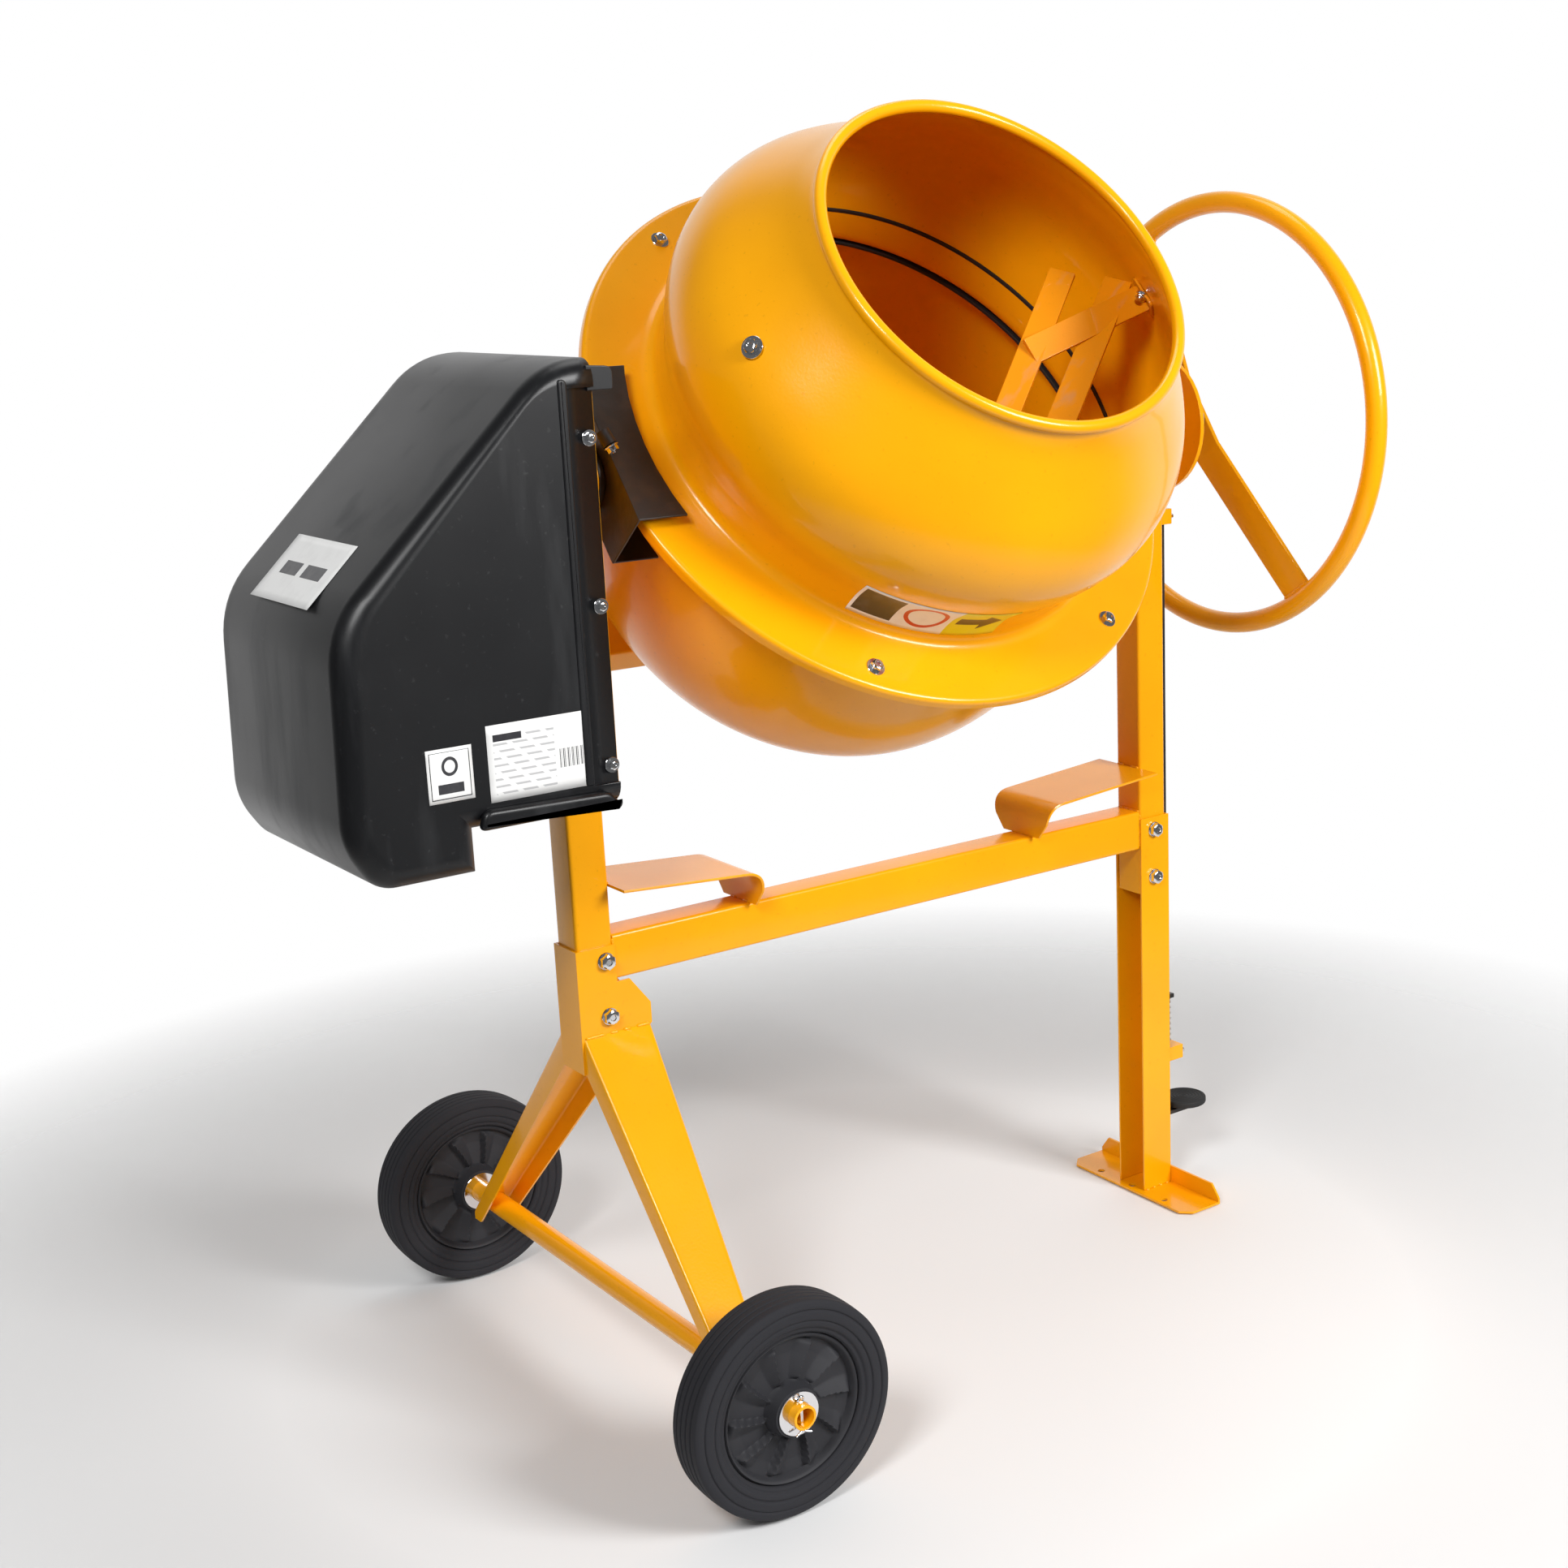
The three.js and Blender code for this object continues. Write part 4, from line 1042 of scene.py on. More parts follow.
ALONG_Y = np.array([[1.0, 0.0, 0.0], [0.0, 0.0, 1.0], [0.0, -1.0, 0.0]])  # local (x, z, -y) of the machine


# ---------------------------------------------------------------- stand
@dataclass
class Stand:
    """Welded and bolted frame: posts, crossbar, shelves, sleeve, legs, axle and foot plate."""

    tube_side: float = 45.0
    wall: float = 2.5
    corner: float = 4.5
    post_low: float = 428.0
    post_high: float = 1015.0
    bar_height: float = 52.0
    bar_top: float = 542.0
    sleeve_half: float = 25.6
    leg_top: float = 431.0
    leg_foot: float = 98.0
    leg_left: float = -23.0
    leg_root_right: float = 62.0
    leg_tip_right: float = 23.0
    leg_root_low: float = 388.0
    leg_low_slope: float = 1.0715
    leg_high_slope: float = 1.117
    leg_knee_y: float = 296.0
    leg_end_y: float = 312.0
    sheet: float = 2.8
    axle_radius: float = 13.4
    axle_bore: float = 10.6
    axle_end: float = 409.0
    shelf_reach: float = 184.0
    shelf_root_z: float = 599.5
    shelf_fold_z: float = 585.5
    shelf_fold: float = 24.0
    shelf_half: float = 58.0
    shelf_taper: float = 22.0
    shelf_sheet: float = 3.0
    weld: float = 1.9
    bolt_heights: tuple[float, float] = (514.8, 450.0)
    left_bolt_x: float = 11.0

    def build(self) -> None:
        """Adds every piece of the stand."""
        self.posts()
        self.crossbar()
        for side in (-1, 1):
            self.wheel_leg(side)
        self.axle()
        self.shelf("left_shelf", self.tube_side / 2 + GAP, 1)
        self.shelf("right_shelf", POST_SPAN - self.tube_side / 2 - GAP, -1)
        self.bolts()
        self.welds()
        for node in ("leg_sleeve", "right_leg"):
            softened(node, YELLOW, 1.2, 3)
        softened("foot_plate", YELLOW, 0.7, 2)
        for node in ("left_bearing_block", "right_bearing_block"):
            softened(node, YELLOW, 1.5, 3)

    def posts(self) -> None:
        """Adds both posts: an oblong tube section carried up."""
        side = self.tube_side
        post = hollow_tube(side, side, self.post_low, self.post_high, self.wall, self.corner)
        for name, x in (("left_post", 0.0), ("right_post", POST_SPAN)):
            piece(f"{name}_tube", "stand", YELLOW, post.shifted((x, 0, 0)).laid(STAND), [name])

    def crossbar(self) -> None:
        """Adds the crossbar: an oblong tube section carried along x."""
        reach = self.tube_side / 2 + GAP
        width = self.tube_side - 2 * GAP
        shape = hollow_tube(width, self.bar_height, reach, POST_SPAN - reach, self.wall, self.corner)
        place = Place((POST_X, 0.0, self.bar_top - self.bar_height / 2), ALONG_X)
        piece("crossbar_tube", "stand", YELLOW, shape.laid(place), ["crossbar"])

    def wheel_leg(self, side: int) -> None:
        """Adds one channel leg: a rounded U section whose corners move in straight lines to the axle.

        Args:
            side: -1 for the front leg, +1 for the rear one.
        """
        rows = []
        for y in (self.sleeve_half + GAP, self.leg_knee_y, self.leg_end_y):
            run = y - self.sleeve_half
            share = run / (self.leg_end_y - self.sleeve_half)
            right = self.leg_root_right + (self.leg_tip_right - self.leg_root_right) * share
            high = self.leg_top - run * self.leg_high_slope
            low = max(self.leg_root_low - run * self.leg_low_slope, self.leg_foot)
            rows.append(self.channel(right, low, high, side * y))
        name = "front_wheel_leg" if side < 0 else "rear_wheel_leg"
        leg = grid(np.array(rows), False, True, caps=True)
        piece(f"{name}_channel", "stand", YELLOW, leg.laid(STAND), [name])

    def channel(self, right: float, low: float, high: float, y: float) -> Points:
        """Draws one U section, open downwards: an outer line, then the inner one a sheet's thickness away.

        Args:
            right: Its right side in x.
            low: Height of its open edges.
            high: Height of its web.
            y: The plane that it lies in.

        Returns:
            The section's closed outline.
        """
        left, thick = self.leg_left, self.sheet
        outer = rounded([(left, low), (left, high), (right, high), (right, low)],
                        [0, 6, 6, 0], 5, closed=False)
        inner = rounded([(right - thick, low), (right - thick, high - thick),
                         (left + thick, high - thick), (left + thick, low)],
                        [0, 3.4, 3.4, 0], 5, closed=False)
        return np.insert(np.vstack([outer, inner]), 1, y, axis=1)

    def axle(self) -> None:
        """Adds the axle tube with its open ends."""
        rim = 0.5
        end, radius = self.axle_end, self.axle_radius
        profile = [
            (self.axle_bore, -end), (radius - rim, -end), (radius, rim - end),
            (radius, end - rim), (radius - rim, end), (self.axle_bore, end),
        ]
        place = Place((POST_X, 0.0, AXLE_Z), ALONG_Y)
        piece("axle_tube_round", "stand", YELLOW, lathe(np.array(profile), 48).laid(place), ["axle_tube"])

    def shelf(self, node: str, root: float, way: int) -> None:
        """Adds a rest shelf: a folded strip section carried across, its outer corners rounded in plan.

        The strip runs level from the post and turns down through a quarter round onto the crossbar. In plan
        the half width narrows near the fold as a quarter ellipse.

        Args:
            node: The CAD node that it stands for.
            root: Where it meets the post in x.
            way: +1 where it runs towards +X, -1 towards -X.
        """
        fold_x = root + way * (self.shelf_reach - self.shelf_sheet / 2)
        knots = [(root, self.shelf_root_z), (fold_x, self.shelf_fold_z), (fold_x, self.bar_top + GAP)]
        centre = rounded(knots, [0, self.shelf_fold, 0], 10, closed=False)
        taper_z, taper_start, taper_end = 582.0, 150.0, 236.0
        away = np.abs(centre[:, 0] - root) + np.maximum(taper_z - centre[:, 1], 0) * 1.4
        share = np.clip((away - taper_start) / (taper_end - taper_start), 0, 1)
        half = self.shelf_half - self.shelf_taper * (1 - np.sqrt(1 - share**2))
        upper, lower = beside(centre, self.shelf_sheet / 2), beside(centre, -self.shelf_sheet / 2)
        rim = 0.8
        sides = [(upper, rim - half), (centre, -half), (lower, rim - half),
                 (lower, half - rim), (centre, half), (upper, half - rim)]
        rows = [np.column_stack([line[:, 0], across, line[:, 1]]) for line, across in sides]
        strip = grid(np.array(rows).transpose(1, 0, 2), False, True, caps=True)
        piece(f"{node}_folded", "stand", YELLOW, strip.laid(STAND), [node])

    def bolts(self) -> None:
        """Adds the four leg bolts with washers and nuts."""
        face = self.sleeve_half + 0.1
        for side, x in (("left", self.left_bolt_x), ("right", POST_SPAN)):
            for level, z in zip(("upper", "lower"), self.bolt_heights):
                front = STAND.at((x, -face, z), (0, -1, 0))
                back = STAND.at((x, face, z), (0, 1, 0))
                nut = hex_head(16.0, 8.0, 10.5) + tube(np.array([[0, 0, 8.0], [0, 0, 13.5]]), 4.8, 24)
                shape = hex_head(16.5, 7.5, 10.2).laid(front) + nut.laid(back)
                node = f"{side}_leg_bolt_{level}"
                piece(f"{node}_set", "stand", ZINC, shape, [node], math.radians(24))

    def welds(self) -> None:
        """Adds the weld beads at the leg, post, crossbar, shelf and foot plate joints."""
        half, top = self.tube_side / 2, self.bar_top
        leg_y, leg_z = self.sleeve_half + 0.5, self.leg_top - 0.5
        shelf_z = self.shelf_root_z + self.shelf_sheet / 2
        foot_y, foot_z, foot_run = 26.2, 3.4, 6.0
        lines = []
        for side in (-1, 1):
            for start, end in ((-21, 4), (10, 20), (27, 36), (44, 61)):
                lines.append([(start, side * leg_y, leg_z), (end, side * leg_y, leg_z)])
        for x, way in ((half, 1), (POST_SPAN - half, -1)):
            lines.append([(x, -20, top), (x, 20, top)])
            lines.append([(x, 1 - half, top - 4), (x, 1 - half, top - 48)])
            for side in (-1, 1):
                root, tip = x + way * 0.5, x + way * (self.shelf_reach - 2)
                lines.append([(root, side * 20, shelf_z), (root, side * 6, shelf_z)])
                lines.append([(tip, side * 20, top + 0.6), (tip, side * 8, top + 0.6)])
        for dx in (-20, -8, 4, 16):
            x = POST_SPAN + dx
            for side in (-1, 1):
                lines.append([(x, side * foot_y, foot_z), (x + foot_run, side * foot_y, foot_z)])
        shape = joined([bead(np.array(line, float), self.weld) for line in lines])
        piece("stand_welds", "stand", YELLOW, shape.laid(STAND), soft=math.radians(80))


# ---------------------------------------------------------------- wheels
@dataclass
class Wheel:
    """One solid-tyred wheel with a fan-spoked plastic rim; local z runs outwards along the axle."""

    name: str
    side: int
    tyre_radius: float = 120.0
    hub_half: float = 28.0
    spokes: int = 10

    @property
    def place(self) -> Place:
        """The wheel's frame."""
        y = float(middle(f"{self.name}_tyre")[1])
        turned = np.array([[-self.side, 0, 0], [0, 0, 1], [0, self.side, 0]], float)
        return Place((POST_X, y, AXLE_Z), turned)

    def build(self) -> None:
        """Adds the tyre, the rim, the washers and the split pin."""
        body = f"wheel_{self.name.split('_')[0]}"
        tyre, rim = self.tyre().laid(self.place), self.rim().laid(self.place)
        piece(f"{self.name}_tyre_grooved", body, TYRE, tyre, [f"{self.name}_tyre"], math.radians(50))
        piece(f"{self.name}_rim_spoked", body, WHEEL_PLASTIC, rim, [f"{self.name}_rim"])
        self.axle_end()

    def tyre(self) -> Shape:
        """Turns the tyre's profile.

        The tread is a shallow parabola less four grooves, each e^(-(distance / 1 mm)^4) deep; every side wall
        has two raised rings.

        Returns:
            The tyre.
        """
        groove_depth, grooves, shoulder = 1.9, (-13.0, -4.5, 4.5, 13.0), 20.0
        z = np.linspace(-shoulder, shoulder, 121)
        crown = self.tyre_radius - 0.9 * (z / shoulder) ** 2
        depth = sum(groove_depth * np.exp(-((z - groove) ** 4)) for groove in grooves)
        tread = np.column_stack([crown - depth, z])
        wall = smooth_line([
            (118.6, 21.6), (115.4, 23.6), (110.5, 24.4), (108.6, 23.0), (106.6, 24.6), (99.0, 25.0),
            (97.0, 23.2), (95.0, 24.2), (91.0, 23.6), (88.5, 21.4), (85.5, 21.2), (83.3, 19.0),
        ], 4)
        other = wall[::-1] * (1, -1)
        return lathe(np.vstack([other, tread, wall]), 128)

    def rim(self) -> Shape:
        """Makes the rim as two faces over radius and angle.

        Each face's height is a web that dishes in between hub and rim, plus ten ridges. A ridge's
        cross-section is a sawtooth in angle: steep on one flank, a long slope on the other, as high as the
        web is deep. Both ends of a ridge fade in along 3 t^2 - 2 t^3.

        Returns:
            The rim.
        """
        radius = np.concatenate([[13.7, 26.5, 27.5], np.linspace(29, 76, 40), [77.5, 79.0, 80.5, 82.0, 82.9]])
        angle = np.linspace(0, 2 * np.pi, 240, endpoint=False)
        r, a = np.meshgrid(radius, angle, indexing="ij")
        inner = np.clip((r - 28.5) / 7.0, 0, 1)
        outer = np.clip((76.5 - r) / 7.0, 0, 1)
        gate = (3 * inner**2 - 2 * inner**3) * (3 * outer**2 - 2 * outer**3)
        turn = (a * self.spokes / (2 * np.pi) + 0.005 * (r - 28)) % 1.0
        steep, foot = 0.1, 0.5
        tooth = np.where(turn < steep, turn / steep, np.clip((foot - turn) / (foot - steep), 0, 1))
        tooth = tooth**1.15
        web = np.interp(r, [13.7, 28, 31, 60, 75, 78, 80.5, 82.9], [0, 0, 9.5, 10.5, 9.5, 2.6, 1.4, 3.2])
        top = np.interp(r, [13.7, 26.5, 28.5, 60, 76, 78, 81, 82.9],
                        [28, 28, 21, 19.5, 19.5, 20.5, 20.5, 18.6])
        height = top - web * (1 - 0.92 * tooth * gate)
        front = np.stack([r * np.cos(a), r * np.sin(a), height], -1)
        back = (front * (1, 1, -1))[::-1]
        return grid(np.vstack([front, back]), True, True)

    def axle_end(self) -> None:
        """Adds the washers either side of the hub and the split pin through the axle's end."""
        half = self.hub_half + GAP
        outer = washer(13.7, 24.0, 1.9).shifted((0, 0, half))
        inner = washer(13.7, 24.0, 1.9).shifted((0, 0, -half - 1.9))
        piece(f"{self.name}_washers", "stand", ZINC, (outer + inner).laid(self.place))
        hole = half + 6.3
        legs = [self.pin_leg(hole, bend) for bend in (-1, 1)]
        turn = np.linspace(0, 2 * np.pi, 24, endpoint=False)
        eye = np.stack([3.4 * np.sin(turn), 17.8 + 3.6 * np.cos(turn), hole + 0 * turn], 1)
        shape = legs[0] + legs[1] + tube(eye, 1.25, 10, closed=True)
        piece(f"{self.name}_split_pin", "stand", ZINC, shape.laid(self.place), soft=math.radians(60))

    def pin_leg(self, hole: float, bend: int) -> Shape:
        """Draws one leg of the split pin: down through the axle, then bent aside.

        Args:
            hole: Height of the hole in the axle.
            bend: Which way it is bent, -1 or +1.

        Returns:
            The leg.
        """
        path = [(bend * 0.9, 15.5, hole), (bend * 0.9, 0, hole), (bend * 0.9, -14.5, hole),
                (bend * 3.6, -18.0, hole + 1.0), (bend * 9.5, -20.0, hole + 2.6)]
        return tube(smooth_line(path, 6), 1.15, 10)


# ---------------------------------------------------------------- motor housing
@dataclass
class MotorHousing:
    """Black moulded housing with its screws and stickers, the switch box, and the drive inside."""

    half: float = 160.0
    open_x: float = -27.1
    top: float = 1179.0
    foot: float = 682.0
    step_x: float = -188.0
    step_z: float = 727.0
    left: float = -323.0
    lean: float = 7.0
    crest_x: float = -73.0
    shoulder_z: float = 945.0
    edge: float = 22.0
    wall: float = 3.6
    strip_x: float = -58.0
    strip_top: float = 1151.0
    strip_depth: float = 4.5
    screw_heights: tuple[float, ...] = (1101.3, 933.0, 768.5)
    screw_x: float = -33.5

    def build(self) -> None:
        """Adds every piece of the drive's housing."""
        self.cover()
        self.ledges()
        self.screws()
        self.stickers()
        self.switch()
        softened("motor_plate", YELLOW, 0.6, 2)
        softened("motor_bracket", BLACK_STEEL, 0.8, 2)
        self.motor()
        softened("drive_belt", BLACK_RUBBER, 0.6, 2)
        softened("motor_pulley", STEEL, 0.5, 2)
        softened("belt_pulley", IRON, 0.8, 2)
        softened("pinion", IRON, 0.4, 2)
        softened("pinion_shaft", STEEL, 0.6, 2)

    def loop(self, inward: float, steps: int = 9) -> Points:
        """Draws the housing's outline in (x, z), every wall but the open side moved inwards.

        Args:
            inward: How far the walls move in.
            steps: Spans in each rounded corner.

        Returns:
            The outline, from the top of the open side round to its foot.
        """
        d = inward
        crest_x, shoulder_x = self.crest_x - 0.4 * d, self.left + self.lean + d
        step_x, step_z = self.step_x - d, self.step_z + d
        corners = [
            (self.open_x, self.top - d), (crest_x, self.top - d), (shoulder_x, self.shoulder_z - 0.4 * d),
            (self.left + d, 730 + 0.4 * d), (-292 + 0.5 * d, self.foot + d), (step_x, self.foot + d),
            (step_x, step_z), (self.strip_x, step_z), (self.open_x, step_z),
        ]
        radii = [0, 40 - 0.4 * d, 46 - 0.3 * d, 26 - 0.3 * d, 20 - 0.2 * d, 0.4, 0.4, 0, 0]
        return rounded(corners, radii, steps)

    def cover(self) -> None:
        """Adds the cover as one sheet with a wall's thickness.

        Loops of the outline are carried from the front face to the rear one; near each face they shrink
        along a quarter round. Each flat face has a sunk strip along the open side, and the open side has no
        wall.
        """
        angle = np.linspace(0, np.pi / 2, 8)
        insets = self.edge * (1 - np.sin(angle))
        depths = -self.half + self.edge * (1 - np.cos(angle))
        rows = [(self.edge + 1.5, -self.half)] + [(i, y) for i, y in zip(insets, depths)]
        rows += [(i, -y) for i, y in rows[::-1]]
        loops = np.array([np.insert(self.loop(i), 1, y, axis=1) for i, y in rows])
        count = loops.shape[1]
        shell = grid(loops, False, True)
        open_column = count - 1
        faces = [face for k, face in enumerate(shell.faces) if k % count != open_column]
        points, extra = [shell.points], []
        base = len(shell.points)
        for row, y in ((0, -self.half), (len(rows) - 1, self.half)):
            ring = list(range(row * count, (row + 1) * count))
            first = loops[row, 0]
            sunk = y - math.copysign(self.strip_depth, y)
            foot, end = loops[row, count - 2], loops[row, count - 1]
            points.append(np.array([
                [first[0], y, self.strip_top], [self.strip_x, y, self.strip_top],
                [first[0], sunk, self.strip_top], [self.strip_x, sunk, self.strip_top],
                [foot[0], sunk, foot[2]], [end[0], sunk, end[2]],
            ]))
            right, knee, right_in, knee_in, low_in, end_in = range(base, base + 6)
            base += 6
            low = ring[count - 2]
            extra += [ring[:count - 1] + [knee, right], [right, knee, knee_in, right_in],
                      [knee, low, low_in, knee_in], [low, ring[count - 1], end_in, low_in],
                      [right_in, knee_in, low_in, end_in]]
        shape = Shape(np.vstack(points), faces + extra).laid(STAND)
        made = piece("motor_cover_shell", "stand", COVER_PLASTIC, shape, ["motor_cover"], math.radians(40))
        wall = made.modifiers.new("wall", "SOLIDIFY")
        wall.thickness = self.wall * MM
        wall.offset = -1.0

    def ledges(self) -> None:
        """Adds the ledge along each flat face's lower edge, the rib beside each strip, and the top tab."""
        for side in (-1, 1):
            name = "front" if side < 0 else "rear"
            outline = rounded([(self.step_x - 1, 727.5), (-29, 727.5), (-44, 744), (self.step_x + 5, 748)],
                              [7, 2, 6, 9], 5)
            ledge = slab(outline, self.half - 3, self.half + 9, 5.0, 5)
            ribs = rounded([(self.strip_x - 9, 752), (self.strip_x + 1, 752), (self.strip_x + 1, 1160),
                            (self.strip_x - 9, 1160)], [3, 3, 6, 4], 4)
            rib = slab(ribs, self.half - 2, self.half + 1.6, 1.8, 4)
            place = Place((POST_X, 0.0, 0.0), np.array([[1, 0, 0], [0, 0, 1], [0, side, 0]], float))
            shape = (ledge + rib).laid(place)
            piece(f"motor_cover_{name}_ledge", "stand", COVER_PLASTIC, shape, soft=math.radians(50))
        root, tip = self.open_x - 6, -3.4
        tab = rounded([(root, 1147), (tip, 1147), (tip, 1170), (root, 1172)], [1, 3, 8, 1], 5)
        shape = slab(tab, -self.half + 3.2, -self.half + 6.8, 0.8, 3)
        place = Place((POST_X, 0.0, 0.0), np.array([[1, 0, 0], [0, 0, 1], [0, 1, 0]], float))
        piece("motor_cover_tab", "stand", COVER_PLASTIC, shape.laid(place))

    def screws(self) -> None:
        """Adds the hexagon screws on both strips of the cover."""
        shapes = []
        for side in (-1, 1):
            for z in self.screw_heights:
                at = STAND.at((self.screw_x, side * (self.half - self.strip_depth), z), (0, side, 0))
                shapes.append((washer(3.0, 8.2, 1.2) + hex_head(9.0, 4.6).shifted((0, 0, 1.2))).laid(at))
        piece("motor_cover_screws", "stand", ZINC, joined(shapes), soft=math.radians(24))

    def stickers(self) -> None:
        """Adds three stickers on the cover."""
        y = -self.half - 0.35
        front = {
            "cover_data_sticker": (Print.PLATE, (-172.5, 753.0), (-61.0, 831.0)),
            "cover_square_sticker": (Print.SQUARE, (-237.5, 762.0), (-189.0, 816.0)),
        }
        for name, (pattern, low, high) in front.items():
            x, z = np.meshgrid(np.linspace(low[0], high[0], 12), np.linspace(low[1], high[1], 8))
            points = np.stack([x, np.full_like(x, y), z], -1)
            finish = Sticker(name, "black_plastic", WHITE_VINYL, pattern)
            sticker(name, "stand", finish, patch(points).laid(STAND))
        start = np.array([self.left + self.lean, self.shoulder_z])
        along = np.array([self.crest_x, self.top]) - start
        along = along / np.linalg.norm(along)
        out = np.array([-along[1], along[0]])
        across, up = np.meshgrid(np.linspace(75, -75, 12), np.linspace(0, 80, 10))
        base = start + 12 * along + 0.5 * out
        points = np.stack([base[0] + up * along[0], across, base[1] + up * along[1]], -1)
        finish = Sticker("cover_slope_sticker", "black_plastic", WHITE_VINYL, Print.BANNER)
        sticker("cover_slope_sticker", "stand", finish, patch(points).laid(STAND))

    def switch(self) -> None:
        """Adds the switch box with its lid line, its two keys and the power inlet."""
        softened("switch_box", COVER_PLASTIC, 3.0, 4)
        softened("start_button", GREEN, 1.5, 3)
        softened("stop_button", RED, 2.0, 3)
        softened("power_inlet", COVER_PLASTIC, 0.8, 2)

    def motor(self) -> None:
        """Adds the motor: a finned barrel, its radius rippling with the angle, between two plain end caps."""
        place = Place((POST_X, 0.0, float(middle("motor_pulley")[2])), ALONG_X)
        angle = np.linspace(0, 2 * np.pi, 240, endpoint=False)
        fins = 56 + 4 * np.clip(np.sin(angle * 30) * 3, -1, 1)
        plain = np.full_like(angle, 59.0)
        rows = [
            (plain * 0.3, -248), (plain * 0.8, -248), (plain, -242), (plain, -222), (fins, -221),
            (fins, -101), (plain, -100), (plain, -82), (plain * 0.9, -78), (plain * 0.5, -78),
            (plain * 0.5, -70.5), (plain * 0.13, -70.5),
        ]
        points = np.array([np.stack([r * np.cos(angle), r * np.sin(angle), 0 * r + x], 1) for r, x in rows])
        barrel = grid(points, False, True, caps=True)
        piece("motor_barrel", "stand", MOTOR_GREY, barrel.laid(place), ["motor_body"])


# ---------------------------------------------------------------- tilt lock
@dataclass
class TiltLock:
    """Foot lock: a flat bar in two guides, its return spring and the pedal."""

    spring_low: float = 197.8
    spring_high: float = 261.2
    turns: int = 9
    pedal_x: float = 905.0
    pedal_z: float = 108.0
    pedal_radius: float = 31.0
    upper_guide: tuple[float, float] = (40.4, 926.0)  # x from the right post's centre, and z
    lower_guide: tuple[float, float] = (55.4, 187.0)
    guide_screw_y: float = 16.2

    def build(self) -> None:
        """Adds the lock's pieces."""
        softened("lock_bar", BLACK_STEEL, 1.0, 2)
        for node in ("upper_lock_guide", "lower_lock_guide"):
            softened(node, YELLOW, 1.2, 2)
        self.spring()
        self.pedal()
        self.bolts()

    def spring(self) -> None:
        """Adds the return spring: a helix of nine turns, x = r cos a, y = r sin a, z rising with a."""
        x = float(middle("lock_spring")[0])
        wire = 0.9
        turn = np.linspace(0, 2 * np.pi * self.turns, self.turns * 20)
        share = np.clip((turn / turn[-1] - 0.06) / 0.88, 0, 1)
        z = self.spring_low + wire + (self.spring_high - self.spring_low - 2 * wire) * share
        path = np.stack([x + 4.7 * np.cos(turn), 4.7 * np.sin(turn), z], 1)
        piece("lock_spring_coil", "stand", STEEL, tube(path, wire, 8), ["lock_spring"], math.radians(60))

    def pedal(self) -> None:
        """Adds the round rubber pad: a thin cap with a rolled rim and shallow rings."""
        low, high = self.pedal_z - 4, self.pedal_z + 5
        r = np.linspace(0, 27, 37)
        rings = 0.5 * np.cos(r * 2 * np.pi / 4.5)
        top = np.column_stack([r, high - 0.6 + rings])
        out = self.pedal_radius
        rim = rounded([(27.5, high - 0.4), (out, high - 0.4), (out, low), (27, low)],
                      [0, 3, 2, 0], 6, closed=False)
        profile = np.vstack([top, rim, [(0, low)]])
        place = Place((POST_X + self.pedal_x, -4.0, 0.0))
        pad = lathe(profile, 72, closed=False)
        piece("pedal_pad_ribbed", "tilt_lock", BLACK_RUBBER, pad.laid(place), ["pedal_pad"], math.radians(50))

    def bolts(self) -> None:
        """Adds the screws that hold the two guides, and the one through the leg."""
        shapes = []
        for x, z in (self.upper_guide, self.lower_guide):
            for y in (self.guide_screw_y, -self.guide_screw_y):
                shapes.append(hex_head(6.5, 3.6).laid(STAND.at((POST_SPAN + x, y, z), (1, 0, 0))))
        through = STAND.at((POST_SPAN + 22.6, 0, 158.0), (-1, 0, 0))
        shapes.append(hex_head(9.0, 5.0, 7.0).laid(through))
        piece("lock_guide_screws", "stand", ZINC, joined(shapes), soft=math.radians(24))


